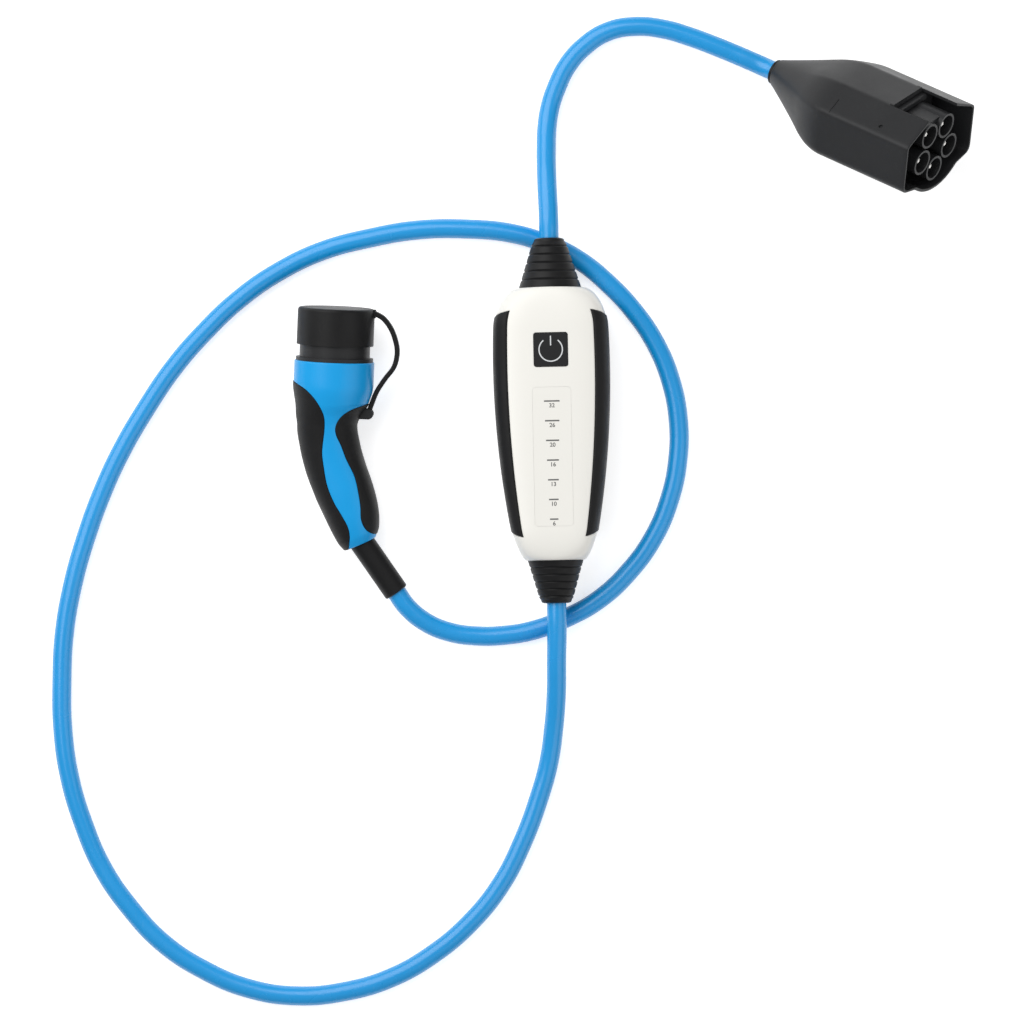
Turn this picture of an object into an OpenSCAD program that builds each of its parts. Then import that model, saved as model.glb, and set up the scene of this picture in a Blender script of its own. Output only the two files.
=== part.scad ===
// Portable EV charger: a control box in the cable, a vehicle connector and a supply plug.
// Millimetres, +Z up. The origin is the middle of the box's underside, and the box lies along Y.

/* [Control box] */
// Length of the housing between its two cable boots
box_len = 234; // [220:1:250]
// Width of the housing at its widest
box_w = 99; // [94:0.5:108]
// Height of the housing
box_h = 66; // [63:0.5:74]
// Height of the cable axes above the underside
axis_z = 34; // [33:0.5:37]
// Wall of the housing
box_wall = 4.4; // [4:0.1:5]
// Wall of the housing at its two ends
end_wall = 4; // [3:0.5:6]
// Squareness of the housing's cross-section, 2 being an ellipse
box_square = 4.5; // [3.8:0.1:6]
// Length of the boot at the supply end
boot_top_len = 43; // [38:1:50]
// Length of the boot at the vehicle end
boot_bottom_len = 37; // [33:1:46]
// Radius of the supply boot at the housing
boot_top_r = 27; // [25:0.5:28]
// Radius of the vehicle boot at the housing
boot_bottom_r = 24; // [22:0.5:25]
// Radius of both boots at the cable
boot_tip_r = 13.4; // [12:0.2:14.5]
// Number of grooves round each boot
boot_grooves = 5; // [3:1:7]

/* [Side grips] */
// Depth that the grips are let into the housing
grip_sink = 2; // [1.4:0.1:2.2]
// Height that the grips stand proud of the housing
grip_proud = 0.8; // [0.4:0.1:1.4]
// Angle of the grips' edges round the cross-section
grip_angle = 57; // [48:1:64]
// Distance of the grips' ends from the housing's ends
grip_end_gap = 20; // [16:1:28]

/* [Front] */
// Side of the square touch plate
plate_w = 29.2; // [25:0.2:33]
// Thickness of the touch plate
plate_t = 2; // [1.6:0.1:2.6]
// Distance of the touch plate's centre from the supply end
plate_from_end = 54; // [50:1:60]
// Width of the scale window
window_w = 33; // [28:0.5:36]
// Length of the scale window
window_len = 119; // [105:1:122]
// Thickness of the scale window
window_t = 1.2; // [0.8:0.1:1.6]
// Distance of the window's upper edge from the supply end
window_from_end = 86; // [80:1:90]
// Number of marks on the scale
marks = 7; // [5:1:9]

/* [Board] */
// Width of the circuit board
board_w = 56; // [52:1:57]
// Length of the circuit board
board_len = 136; // [132:1:140]
// Thickness of the circuit board
board_t = 1.6; // [1.2:0.2:2.4]
// Height of the board's underside above the origin
board_z = 14; // [12:0.5:16]
// Height of the relays
relay_h = 25; // [18:1:28]

/* [Cable] */
// Diameter of the cable
cable_d = 16.8; // [15:0.1:17]
// Diameter of one insulated wire
wire_d = 4; // [3:0.2:4.4]

/* [Vehicle connector] */
// Diameter of the blue collar
collar_d = 68.8; // [67:0.2:74]
// Length of the blue collar
collar_len = 20; // [19:0.5:24]
// Width of the handle seen from its side
handle_w = 51; // [48:0.5:56]
// Thickness of the handle across its halves
handle_t = 46; // [44:0.5:50]
// Wall of the handle
handle_wall = 3.6; // [3:0.1:4]
// Depth of the soft grips in the handle
soft_sink = 1.6; // [1:0.1:1.8]
// Height of the soft grips above the handle
soft_proud = 0.5; // [0.2:0.1:1]
// Outer diameter of the front shroud
shroud_d = 60.6; // [58:0.2:61]
// Wall of the front shroud
shroud_wall = 3; // [2.4:0.1:3.4]
// Length of the shroud in front of the collar
shroud_len = 38; // [36:0.5:42]
// Diameter of the contact block
block_d = 42; // [40:0.5:43]
// Wall of the protective cap
cap_wall = 2.5; // [2:0.1:3]
// Length of the protective cap
cap_len = 32; // [30:0.5:36]
// Thickness of the cap's strap
strap_t = 3.8; // [3:0.1:4.6]
// Width of the cap's strap
strap_w = 10; // [8:0.5:11]
// Radius of the connector's bend relief
relief_r = 10.8; // [10:0.1:12]
// Length of the connector's bend relief
relief_len = 59; // [54:1:62]

/* [Supply plug] */
// Length of the plug
plug_len = 171; // [165:1:186]
// Half width of the plug's shell
plug_side = 49.5; // [48:0.5:52]
// Wall of the plug's shell
plug_wall = 2.6; // [2:0.1:3.2]
// Length of the plug's tapered tail
plug_tail = 65; // [61:1:70]
// Depth of the open front of the plug
plug_depth = 50; // [44:1:54]
// Length of the notch in the top of the shell
notch_len = 36; // [28:1:42]
// Radius of the circle of pins
pin_circle = 20.4; // [20:0.1:21]
// Radius of each pin
pin_r = 3; // [2.5:0.1:3.4]
// Outer radius of each sleeve
sleeve_r = 11.2; // [10.6:0.1:11.4]
// Wall of each sleeve
sleeve_wall = 2; // [1.6:0.1:2.4]

/* [Hidden] */
$fn = 48;

// Clearances: a close seat, a fit with room, and the overshoot of a cut
seat = 0.05;
fit = 0.15;
cut = 1;
sliver = 0.02;

white = "#f3f1ea";
black = "#1b1c1e";
blue = "#1670b8";
grey = "#8c8f93";
copper = "#b87a4a";
steel = "#b9bcc0";
green = "#1e5b3a";

// Control box: the ends, and where the rounding of each end starts
box_total = box_len + boot_top_len + boot_bottom_len;
top_y = box_total / 2 - boot_top_len;
bottom_y = boot_bottom_len - box_total / 2;
top_round = 34;
bottom_round = 28;
top_turn = top_y - top_round;
bottom_turn = bottom_y + bottom_round;
widest_from_end = 67;
widest_y = top_y - widest_from_end;
side_bow_r = 790;
boot_lip = 0.5;
sole_cut = 2;
box_ring = 28;
room_ring = 16;
hole_sides = 12;
slim_sides = 8;
cable_r = cable_d / 2;
cable_sides = 8;
wire_r = wire_d / 2;

// Share of the full section that is left at y, from 1 along the middle to 0 at the ends
function end_share(y) =
    y > top_turn ? sqrt(max(0, 1 - pow((y - top_turn) / top_round, 2)))
    : y < bottom_turn ? sqrt(max(0, 1 - pow((bottom_turn - y) / bottom_round, 2)))
    : 1;
function end_r(y) = (y > 0 ? boot_top_r : boot_bottom_r) + boot_lip;
function half_side(y) = box_w / 2 - pow(y - widest_y, 2) / (2 * side_bow_r);
function half_w(y) = end_r(y) + (half_side(y) - end_r(y)) * end_share(y);
function half_up(y) = end_r(y) + (box_h - axis_z - end_r(y)) * end_share(y);
function half_down(y) = end_r(y) + (axis_z + sole_cut - end_r(y)) * end_share(y);

// A rounded-square curve: squareness 2 is an ellipse
function squared(v, n) = sign(v) * pow(abs(v), 2 / n);
function box_point(y, angle, inset) =
    let (n = 2 + (box_square - 2) * end_share(y),
        reach = sin(angle) > 0 ? half_up(y) : half_down(y))
    [(half_w(y) - inset) * squared(cos(angle), n), y,
        axis_z + (reach - inset) * squared(sin(angle), n)];

turn_steps = [for (a = [90:-22.5:22.5]) sin(a)];
middle_steps = 4;
box_stations = concat(
    [for (s = turn_steps) bottom_turn - bottom_round * s],
    [for (k = [0:middle_steps]) bottom_turn + (top_turn - bottom_turn) * k / middle_steps],
    [for (k = [len(turn_steps) - 1:-1:0]) top_turn + top_round * turn_steps[k]]);
function stations_between(y0, y1) = concat(
    [y0], [for (y = box_stations) if (y > y0 + cut && y < y1 - cut) y], [y1]);

// Grips: where they run along the sides
grip_y0 = bottom_y + grip_end_gap;
grip_y1 = top_y - grip_end_gap;
grip_arc = 8;
grip_gap_angle = 0.6;

// Seal: two cords in a channel in the seam, inside the grips' pockets
seal_w = 1.2;
seal_h = 1.6;
seal_reach = 16;
seal_inset = grip_sink + (box_wall - grip_sink - seal_w) / 2;

// Screws of the housing
screw_r = 2;
screw_head_r = 3.6;
screw_head_h = 2.6;
screw_well = 8.6;
screw_top = 46;
boss_r = 4.5;
boss_inset = 13;
screw_from_top = 54;
screw_from_bottom = 40;
screw_middle_shift = 7;
screw_ys = [top_y - screw_from_top, (top_y + bottom_y) / 2 - screw_middle_shift,
    bottom_y + screw_from_bottom];
screw_places = [for (y = screw_ys, s = [-1, 1]) [s * (half_w(y) - boss_inset), y]];

// Front: plate and window lie on the flat top
plate_y = top_y - plate_from_end;
plate_r = 2.2;
plate_rise = 0.2;
window_top_y = top_y - window_from_end;
window_y = window_top_y - window_len / 2;
window_r = 3;
window_sink = 0.1;
mark_margin_top = 12;
mark_margin_bottom = 6;
mark_pitch = (window_len - mark_margin_top - mark_margin_bottom) / (marks - 1);
mark_long = 13.3;
mark_short = 7.2;
mark_slot = 2;
function mark_y(i) = window_top_y - mark_margin_top - i * mark_pitch;
function mark_len(i) = mark_long + (mark_short - mark_long) * i / (marks - 1);
window_floor = box_h - window_sink - window_t;
room_top = box_point(0, 90 - 180 / room_ring, box_wall)[2];
guide_t = 2.5;
guide_w = 18;
guide_end = 5;

// Boots: neck through the end wall and flange behind it
neck_r = 17;
flange_r = 20;
flange_t = 3;
groove_deep = 0.9;
groove_half = 1.1;
boot_lip_len = 3;
boot_edge = 0.8;

// Board: posts, and what stands on it
post_r = 3.5;
post_inset = 6;
board_corner = 4;
board_top = board_z + board_t;
relay_w = 12.4;
relay_len = 28;
relay_pitch = 13.6;
relay_y = 8;
core_r = 17;
core_hole_r = 10;
core_t = 12;
core_y = -8;
core_foot = 0.5;
core_foot_half = 13.6;
core_z = board_top + core_r + core_foot;
module_size = [20, 18, 6];
terminal_w = 54;
terminal_len = 14;
terminal_h = 18;
terminal_edge = 2;
terminal_y = board_len / 2 - terminal_len - terminal_edge;
post_gap = 6;
post_span = terminal_y - post_gap;
post_places = [for (x = [-1, 1], y = [-1, 1]) [x * (board_w / 2 - post_inset), y * post_span]];
module_at = [-3, -post_span];
pole_pitch = 10;
pole_rise = 10;
pole_z = board_top + pole_rise;
pole_well_r = 2.6;
pole_well = 5;
tail_in = 20;
wire_turn = 5;
wire_start = 7;
wire_sides = 6;
clamp_r = 13;
clamp_t = 9;
clamp_ear = 6;
clamp_ear_h = 8;
clamp_hole = 2.5;

// Vehicle connector: lies on its collar and on its handle
connector_tilt = 5.5;
connector_yaw = -3.7;
collar_r = collar_d / 2;
connector_pos = [-186.7, 55.4, collar_r * cos(connector_tilt) + collar_len * sin(connector_tilt) + 0.3];
shroud_r = shroud_d / 2;
shroud_seat = 18;
shroud_lip = 3;
shroud_floor = 4;
block_r = block_d / 2;
block_flat = 16.5;
block_front = shroud_len - 4;
contact_nose = 8;
contact_back = 14;
contact_end = -shroud_seat - contact_back;
cap_r = shroud_r + fit * 2 + cap_wall;
cap_from = 13.8;
cap_top = 3;
cap_round = 2.5;
cap_end = cap_from + cap_len;

// Rows of the handle: centre x and y, half width, half thickness and turn
grip_half = handle_w / 2;
grip_thick = handle_t / 2;
handle_rows = [
    [0, 0, collar_r, collar_r, 0],
    [0, -collar_len, collar_r, collar_r, 0],
    [-0.5, -36, collar_r - 3, collar_r - 3, 1],
    [-3.1, -47, grip_half + 2.2, grip_thick + 4, 2],
    [-4, -56, grip_half, grip_thick + 2, 3],
    [-1, -73, grip_half, grip_thick + 0.5, 6],
    [4, -90, grip_half, grip_thick, 11],
    [12, -110, grip_half - 0.5, grip_thick, 15],
    [20.5, -131, grip_half - 2.7, grip_thick - 1, 19],
    [26.5, -149, grip_half - 6.7, grip_thick - 4.5, 24],
    [28.5, -157, grip_half - 11, grip_thick - 9, 26]];
handle_square = 2.2;
handle_room_end = 150;
handle_reach = 200;
handle_ring = 20;
soft_sides = 12;

// Circles whose joined outline is the edge of each soft grip on the handle
back_soft_r = 12;
back_soft = [[-34, -33], [-23, -43], [-19, -49], [-18, -62], [-19, -80], [-16.5, -93],
    [-10, -112], [-3.5, -120], [4.5, -129], [10, -142], [10, -151]];
front_soft_r = 10;
front_soft = [[34, -45], [23, -47], [18, -51], [15, -55], [14, -59], [16, -65], [21.5, -75],
    [27, -85], [32.5, -97], [35, -108], [38, -123], [41, -132]];

// Contacts in the block: across and up as seen from the front, with the flat side up
power_contacts = [[0, 0], [-13, 0], [13, 0], [-7, -12], [7, -12]];
signal_contacts = [[-7, 11], [7, 11]];
power_r = 3.9;
power_bore = 3;
signal_r = 2.2;
signal_bore = 1.5;
power_wire_r = 1.6;
signal_wire_r = 1;

// Bend relief of the connector: its root in the handle and its direction
relief_root = [26, -150.6];
relief_turn = 37;
relief_sides = 16;
relief_throat = 6;
relief_edge = 1;
connector_tail = 9;

// Screws of the handle
handle_screws = [[-20, -60], [-9, -95], [29, -116]];
handle_screw_r = 1.5;
handle_head_r = 2.8;
handle_head_z = -11;
handle_screw_len = 24;
handle_head_h = 2;
handle_boss_r = 4;

// Strap: from the tab on the cap to the pin in its bracket
tab_x = cap_r + 1;
tab_y = cap_end - 4;
tab_h = 7;
tab_root = 4;
tab_edge = 1;
strap_route = [[tab_x + seat, tab_y], [41, 38], [47.5, 30], [52, 19.5], [53.8, 9], [51.5, -3], [44, -14],
    [37.5, -25], [33.5, -36], [31, -44.5]];
eye_r = 4.4;
pin_gap = 0.2;
anchor_pin_r = 2.1;
anchor = strap_route[len(strap_route) - 1];
ear_t = 2;
ear_gap = 0.3;
anchor_root = 17;
anchor_wall = 1.6;

// Supply plug: leans back on its tail, with one lower edge of the shell on the surface
plug_lean = 28;
plug_heading = -28;
plug_roll = 41;
plug_top = 32;
plug_shoulder = 18;
plug_brow = 21;
heel_chamfer = 2.5;
plug_heel = [plug_side - heel_chamfer, -27.5];
plug_heel_side = -23;
belly_r = 45.3;
belly_y = 2.5;
belly_half = 30;
plug_belly = [belly_half, belly_y - sqrt(pow(belly_r, 2) - pow(belly_half, 2))];
plug_tail_r = 12.5;
plug_heel_reach = plug_heel[0] * cos(plug_roll) - plug_heel[1] * sin(plug_roll);
plug_pos = [200.4, 296.1,
    max(plug_heel_reach, plug_side * cos(plug_roll) - plug_heel_side * sin(plug_roll)) * cos(plug_lean)
    - plug_tail * sin(plug_lean) + 0.1];
core_floor = 8;
core_from = plug_len - plug_depth;
core_shift = -4;
core_recess = 3;
sleeve_len = plug_depth - core_floor - core_recess;
core_bridge = [23, 9];
bridge_recess = 4;
bridge_drop = 1.3;
pin_recess = 6.5;
pin_root = 0.5;
pin_back = 10;
pin_angles = [-90, -18, 54, 126, 198];
wire_room_r = 28;
wire_room_from = 60;
plug_tail_in = 6;
plug_wire_start = 8;
bush_r = 11;
bush_len = 12;
bush_out = 3;
notch_half = 21;
ridge_wide = 4;
ridge_high = 1.2;
ridge_foot = 0.5;
ridge_from = plug_len - notch_len - ridge_wide - ridge_foot;

// Routes of the two cables
cable_straight = 14;
plug_axis = [cos(plug_lean) * cos(plug_heading), cos(plug_lean) * sin(plug_heading), sin(plug_lean)];
supply_route = [[0, top_y + boot_top_len, axis_z], [0, 174, axis_z], [-1, 210, 27], [-1, 235, 18],
    [0, 255, 11.5], [3, 272, 9], [9, 289, 8.4], [19, 308, 8.4], [34, 324, 8.4], [54, 336, 8.4],
    [78, 340, 8.4], [103, 337, 8.4], [127, 329.3, 8.4], [150, 320, 8.4], [169.5, 311.4, 8.5],
    plug_pos - cable_straight * plug_axis, plug_pos];
relief_dir = [sin(relief_turn), -cos(relief_turn), 0];
relief_end = [relief_root[0], relief_root[1], 0] + relief_len * relief_dir;
vehicle_route = [[0, bottom_y - boot_bottom_len, axis_z], [0, -176, axis_z], [-1, -205, 30], [-2, -235, 23],
    [-5, -265, 15], [-10, -295, 9.8], [-19, -325, 8.4], [-34, -363, 8.4], [-54, -400, 8.4],
    [-81, -432, 8.4], [-113, -458, 8.4], [-150, -478, 8.4], [-190, -489, 8.4], [-232, -492, 8.4],
    [-273, -485, 8.4], [-312, -468, 8.4], [-347, -444, 8.4], [-375, -413, 8.4], [-398, -378, 8.4],
    [-414, -339, 8.4], [-425, -299, 8.4], [-430, -258, 8.4], [-430, -216, 8.4], [-427, -174, 8.4],
    [-419, -133, 8.4], [-407, -93, 8.4], [-392, -54, 8.4], [-374, -17, 8.4], [-352, 19, 8.4],
    [-328, 53, 8.4], [-300, 84, 8.4], [-269, 112, 8.4], [-234, 135, 8.4], [-196, 152, 8.4],
    [-155, 162, 8.4], [-114, 168, 8.4], [-72, 168, 8.4], [-31, 163, 8.4], [0, 152.5, 8.4],
    [25, 139, 8.4], [50, 118, 8.4], [73, 92, 8.4], [90, 65, 8.4], [102, 34, 8.4], [108, 0, 8.4],
    [107, -35, 8.4], [99, -70, 8.4], [84, -103, 8.4], [62, -132, 8.4], [36, -155, 8.4],
    [8, -170, 8.4], [-20, -180, 8.4], [-46, -184, 8.4], [-71, -184, 8.8], [-94, -180, 10.5],
    [-114, -171, 13.2], at_connector_point(relief_end + cable_straight * relief_dir),
    at_connector_point(relief_end)];

// Curve through points of any length, and the list of points along it
function spline(p, i, u) =
    let (a = p[max(i - 1, 0)], b = p[i], c = p[i + 1], d = p[min(i + 2, len(p) - 1)])
    b + 0.5 * u * (c - a + u * (2 * a - 5 * b + 4 * c - d + u * (3 * b - a - 3 * c + d)));
function smooth(p, steps) = concat(
    [for (i = [0:len(p) - 2], k = [0:steps - 1]) spline(p, i, k / steps)], [p[len(p) - 1]]);

function turned_x(p, a) = [p[0], p[1] * cos(a) - p[2] * sin(a), p[1] * sin(a) + p[2] * cos(a)];
function turned_z(p, a) = [p[0] * cos(a) - p[1] * sin(a), p[0] * sin(a) + p[1] * cos(a), p[2]];
function at_connector_point(p) = connector_pos + turned_z(turned_x(p, connector_tilt), connector_yaw);

// Closed solid through rings of equal, even counts of points
module skin(rings) {
    n = len(rings[0]);
    last = len(rings) - 1;
    sides = [for (i = [0:last - 1], j = [0:n - 1]) each [
        [i * n + j, i * n + (j + 1) % n, (i + 1) * n + (j + 1) % n],
        [i * n + j, (i + 1) * n + (j + 1) % n, (i + 1) * n + j]]];
    caps = [for (k = [0:n / 2 - 2], e = [0, 1]) each
        let (s = e * last * n, q = [s + k, s + k + 1, s + n - 2 - k, s + n - 1 - k])
        e == 0 ? [[q[0], q[2], q[1]], [q[0], q[3], q[2]]] : [[q[0], q[1], q[2]], [q[0], q[2], q[3]]]];
    polyhedron([for (r = rings) each r], concat(sides, caps));
}

function unit(v) = v / norm(v);
function heading(p, i) = unit(p[min(i + 1, len(p) - 1)] - p[max(i - 1, 0)]);

// Round tube along a route that never points straight up
module tube(route, r, sides) {
    skin([for (i = [0:len(route) - 1])
        let (d = heading(route, i), across = unit(cross(d, [0, 0, 1])), up = cross(across, d))
        [for (k = [0:sides - 1])
            route[i] + r * (cos(360 * k / sides) * across + sin(360 * k / sides) * up)]]);
}

// Flat plate outline with round corners
module plate_outline(w, len, r) {
    square([w - 2 * r, len], center = true);
    square([w, len - 2 * r], center = true);
    for (x = [-1, 1], y = [-1, 1]) translate([x * (w / 2 - r), y * (len / 2 - r)]) circle(r);
}

// Pocket with round corners for such a plate
module plate_pocket(w, len, r, h) {
    hull() for (x = [-1, 1], y = [-1, 1])
        translate([x * (w / 2 - r), y * (len / 2 - r), 0]) cylinder(r = r, h = h, $fn = 16);
}

module along_y(at) {
    translate(at) rotate([-90, 0, 0]) children();
}

// Control box

module box_form(inset, ys, ring) {
    skin([for (y = ys) [for (k = [0:ring - 1]) box_point(y, 360 * (k + 0.5) / ring, inset)]]);
}

module grip_band(side, out, sink, spread, reach) {
    span = grip_angle + spread;
    ys = stations_between(grip_y0 - reach, grip_y1 + reach);
    mirror([side < 0 ? 1 : 0, 0, 0])
    skin([for (y = ys) concat(
        [for (k = [0:grip_arc]) box_point(y, span * (2 * k / grip_arc - 1), -out)],
        [for (k = [grip_arc:-1:0]) box_point(y, span * (2 * k / grip_arc - 1), sink)])]);
}

module seal_cord(side, grow) {
    ys = [for (y = box_stations) if (y > bottom_turn - seal_reach && y < top_turn + seal_reach) y];
    mirror([side < 0 ? 1 : 0, 0, 0])
    skin([for (k = [0:len(ys) - 1])
        let (y = ys[k] + (k == 0 ? -grow : k == len(ys) - 1 ? grow : 0),
            outer = half_w(y) - seal_inset + grow, inner = half_w(y) - seal_inset - seal_w - grow)
        [[outer, y, axis_z - seal_h / 2 - grow], [outer, y, axis_z + seal_h / 2 + grow],
            [inner, y, axis_z + seal_h / 2 + grow], [inner, y, axis_z - seal_h / 2 - grow]]]);
}

// Room inside the housing, less the columns that stand in it
module box_room() {
    difference() {
        box_form(box_wall, stations_between(bottom_y + end_wall, top_y - end_wall), room_ring);
        for (p = screw_places) translate([p[0], p[1], 0]) cylinder(r = boss_r, h = box_h, $fn = slim_sides);
        for (p = post_places) hull() {
            translate([p[0], p[1], 0]) cylinder(r = post_r, h = board_z, $fn = slim_sides);
            translate([p[0], p[1], 0]) cylinder(r = post_r + 1, h = board_z / 2, $fn = slim_sides);
        }
    }
}

// What both halves of the housing leave free for their neighbours
module box_neighbours() {
    for (side = [-1, 1]) {
        grip_band(side, grip_proud + cut, grip_sink + fit, grip_gap_angle, 2 * fit);
        seal_cord(side, seat);
    }
    for (y = [top_y - end_wall, bottom_y]) along_y([0, y - cut, axis_z])
        cylinder(r = neck_r + fit, h = end_wall + 2 * cut, $fn = 24);
}

module half_space(z0, z1) {
    translate([-box_w, bottom_y - cut, z0]) cube([2 * box_w, box_len + 2 * cut, z1 - z0]);
}

module box_upper_shell() {
    color(white)
    difference() {
        intersection() {
            box_form(0, box_stations, box_ring);
            half_space(axis_z, box_h + cut);
        }
        box_room();
        box_neighbours();
        translate([0, plate_y, box_h + plate_rise - plate_t - seat])
            plate_pocket(plate_w + 2 * fit, plate_w + 2 * fit, plate_r, plate_t + cut);
        translate([0, window_y, window_floor - seat])
            plate_pocket(window_w + 2 * fit, window_len + 2 * fit, window_r, window_t + cut);
        for (i = [0:marks - 1]) translate([0, mark_y(i), box_h - box_wall - cut])
            hull() for (x = [-1, 1]) translate([x * (mark_len(i) - mark_slot) / 2, 0, 0])
                cylinder(r = mark_slot / 2 + fit, h = box_wall + cut, $fn = slim_sides);
        for (p = screw_places) translate([p[0], p[1], axis_z - cut])
            cylinder(r = screw_r + fit, h = screw_top - axis_z + 2 * cut, $fn = hole_sides);
    }
}

module box_lower_shell() {
    color(white)
    difference() {
        intersection() {
            box_form(0, box_stations, box_ring);
            half_space(0, axis_z);
        }
        box_room();
        box_neighbours();
        for (p = screw_places) translate([p[0], p[1], -cut]) {
            cylinder(r = screw_r + fit, h = axis_z + 2 * cut, $fn = hole_sides);
            hull() {
                cylinder(r = screw_head_r + fit, h = screw_well + cut, $fn = hole_sides);
                cylinder(r = screw_head_r + 2 * fit, h = cut, $fn = hole_sides);
            }
        }
        for (p = post_places) translate([p[0], p[1], board_z - screw_head_h * 2])
            cylinder(r = screw_r / 2 + fit, h = board_z, $fn = slim_sides);
    }
}

module housing_seal() {
    color(grey) for (side = [-1, 1]) seal_cord(side, 0);
}

module side_grip_left() {
    color(black) grip_band(-1, grip_proud, grip_sink, 0, 0);
}

module side_grip_right() {
    color(black) grip_band(1, grip_proud, grip_sink, 0, 0);
}

module touch_plate() {
    color(black) translate([0, plate_y, box_h + plate_rise - plate_t])
        linear_extrude(plate_t) plate_outline(plate_w, plate_w, plate_r);
}

module scale_window() {
    color("#efeee8") translate([0, window_y, window_floor])
        linear_extrude(window_t) plate_outline(window_w, window_len, window_r);
}

module light_guide() {
    span = (marks - 1) * mark_pitch + 2 * guide_end;
    color("#dfe6ea") {
        translate([-guide_w / 2, mark_y(marks - 1) - guide_end, room_top - guide_t - seat])
            cube([guide_w, span, guide_t]);
        for (i = [0:marks - 1])
            translate([(mark_slot - mark_len(i)) / 2, mark_y(i) - mark_slot / 2, room_top - guide_t])
                cube([mark_len(i) - mark_slot, mark_slot, window_floor - room_top + guide_t - 2 * seat]);
    }
}

// Ribbed bend relief of the box, standing on z = 0 with its neck and flange below
module cable_boot(base_r, len) {
    inside = -end_wall - flange_t - seat;
    slope = (boot_tip_r - base_r) / len;
    pitch = len / (boot_grooves + 1);
    grooves = [for (i = [1:boot_grooves]) each let (s = i * pitch) [
        [base_r + slope * (s - groove_half), s - groove_half],
        [base_r + slope * s - groove_deep, s],
        [base_r + slope * (s + groove_half), s + groove_half]]];
    rotate_extrude()
        polygon(concat([[cable_r + fit, inside], [flange_r, inside], [flange_r, -end_wall - seat],
            [neck_r, -end_wall - seat], [neck_r, seat], [base_r, seat]], grooves,
            [[boot_tip_r, len - boot_lip_len], [boot_tip_r - boot_edge, len - boot_edge],
            [boot_tip_r - boot_lip_len, len],
            [cable_r + fit, len]]));
}

module cable_boot_top() {
    color(black) along_y([0, top_y, axis_z]) cable_boot(boot_top_r, boot_top_len);
}

module cable_boot_bottom() {
    color(black) translate([0, bottom_y, axis_z]) rotate([90, 0, 0])
        cable_boot(boot_bottom_r, boot_bottom_len);
}

// Clamp round a cable end, with an ear and a screw hole on each side
module cable_clamp() {
    difference() {
        union() {
            cylinder(r = clamp_r, h = clamp_t);
            translate([-clamp_r - clamp_ear, -clamp_ear_h / 2, 0])
                cube([2 * clamp_r + 2 * clamp_ear, clamp_ear_h, clamp_t]);
        }
        translate([0, 0, -cut]) cylinder(r = cable_r + seat, h = clamp_t + 2 * cut);
        for (x = [-1, 1]) translate([x * (clamp_r + clamp_hole), 0, -cut])
            cylinder(r = screw_r / 2, h = clamp_t + 2 * cut);
    }
}

clamp_gap = end_wall + flange_t + 2 * seat;

module cable_clamp_top() {
    color(grey) along_y([0, top_y - clamp_gap - clamp_t, axis_z]) cable_clamp();
}

module cable_clamp_bottom() {
    color(grey) along_y([0, bottom_y + clamp_gap, axis_z]) cable_clamp();
}

module control_board() {
    color(green) translate([0, 0, board_z])
    difference() {
        linear_extrude(board_t) plate_outline(board_w, board_len, board_corner);
        for (p = post_places) translate([p[0], p[1], -cut])
            cylinder(r = screw_r / 2 + fit, h = board_t + 2 * cut);
    }
}

module board_screws() {
    color(steel) for (p = post_places) translate([p[0], p[1], board_top + seat]) {
        cylinder(r = screw_r, h = screw_r);
        translate([0, 0, -screw_head_h - board_t]) cylinder(r = screw_r / 2, h = screw_head_h + board_t);
    }
}

function relay_x(i) = (i - 1.5) * relay_pitch;

module relays() {
    color("#26282c") for (i = [0:3]) translate([relay_x(i) - relay_w / 2, relay_y, board_top])
        cube([relay_w, relay_len, relay_h]);
}

module fault_current_sensor() {
    color("#3a3f46")
    difference() {
        union() {
            along_y([0, core_y - core_t, core_z]) cylinder(r = core_r, h = core_t);
            translate([-core_foot_half, core_y - core_t, board_top])
                cube([2 * core_foot_half, core_t, core_r - core_hole_r]);
        }
        along_y([0, core_y - core_t - cut, core_z]) cylinder(r = core_hole_r, h = core_t + 2 * cut);
    }
}

module power_module() {
    color("#30343a") translate([module_at[0], module_at[1], board_top]) cube(module_size);
}

function pole_x(i) = (i - 2) * pole_pitch;

// Terminal block with a screw well over each pole
module terminals() {
    difference() {
        translate([-terminal_w / 2, terminal_y, board_top]) cube([terminal_w, terminal_len, terminal_h]);
        for (i = [0:4]) translate([pole_x(i), terminal_y + terminal_len / 2, board_top + terminal_h])
            translate([0, 0, -pole_well]) cylinder(r = pole_well_r, h = pole_well + cut);
    }
}

module supply_terminals() {
    color("#2f6b3c") terminals();
}

module vehicle_terminals() {
    color("#2f6b3c") mirror([0, 1, 0]) terminals();
}

// Order in which the wires in the cable come to the poles from left to right
wire_order = [1, 2, 0, 3, 4];

// End of the cable inside the box, and its wires to the poles of a terminal block
module box_leads(end_y, len) {
    tail_y = end_y - tail_in;
    pole_y = terminal_y + terminal_len + seat;
    color(blue) along_y([0, tail_y, axis_z]) cylinder(r = cable_r, h = len + tail_in);
    color(copper) for (i = [0:4])
        let (a = 90 + 72 * wire_order[i],
            from = [wire_turn * cos(a), tail_y - seat, axis_z + wire_turn * sin(a)],
            to = [pole_x(i), pole_y, pole_z])
        tube([from, from - [0, wire_start, 0], to + [0, wire_start, 0], to], wire_r, wire_sides);
}

module supply_leads() {
    box_leads(top_y, boot_top_len);
}

module vehicle_leads() {
    mirror([0, 1, 0]) box_leads(-bottom_y, boot_bottom_len);
}

// Leads from the relays through the ring core to the terminals on the vehicle's side
lead_spread = 3.6;
lead_rise = 14;
lead_z = board_top + lead_rise;

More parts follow.
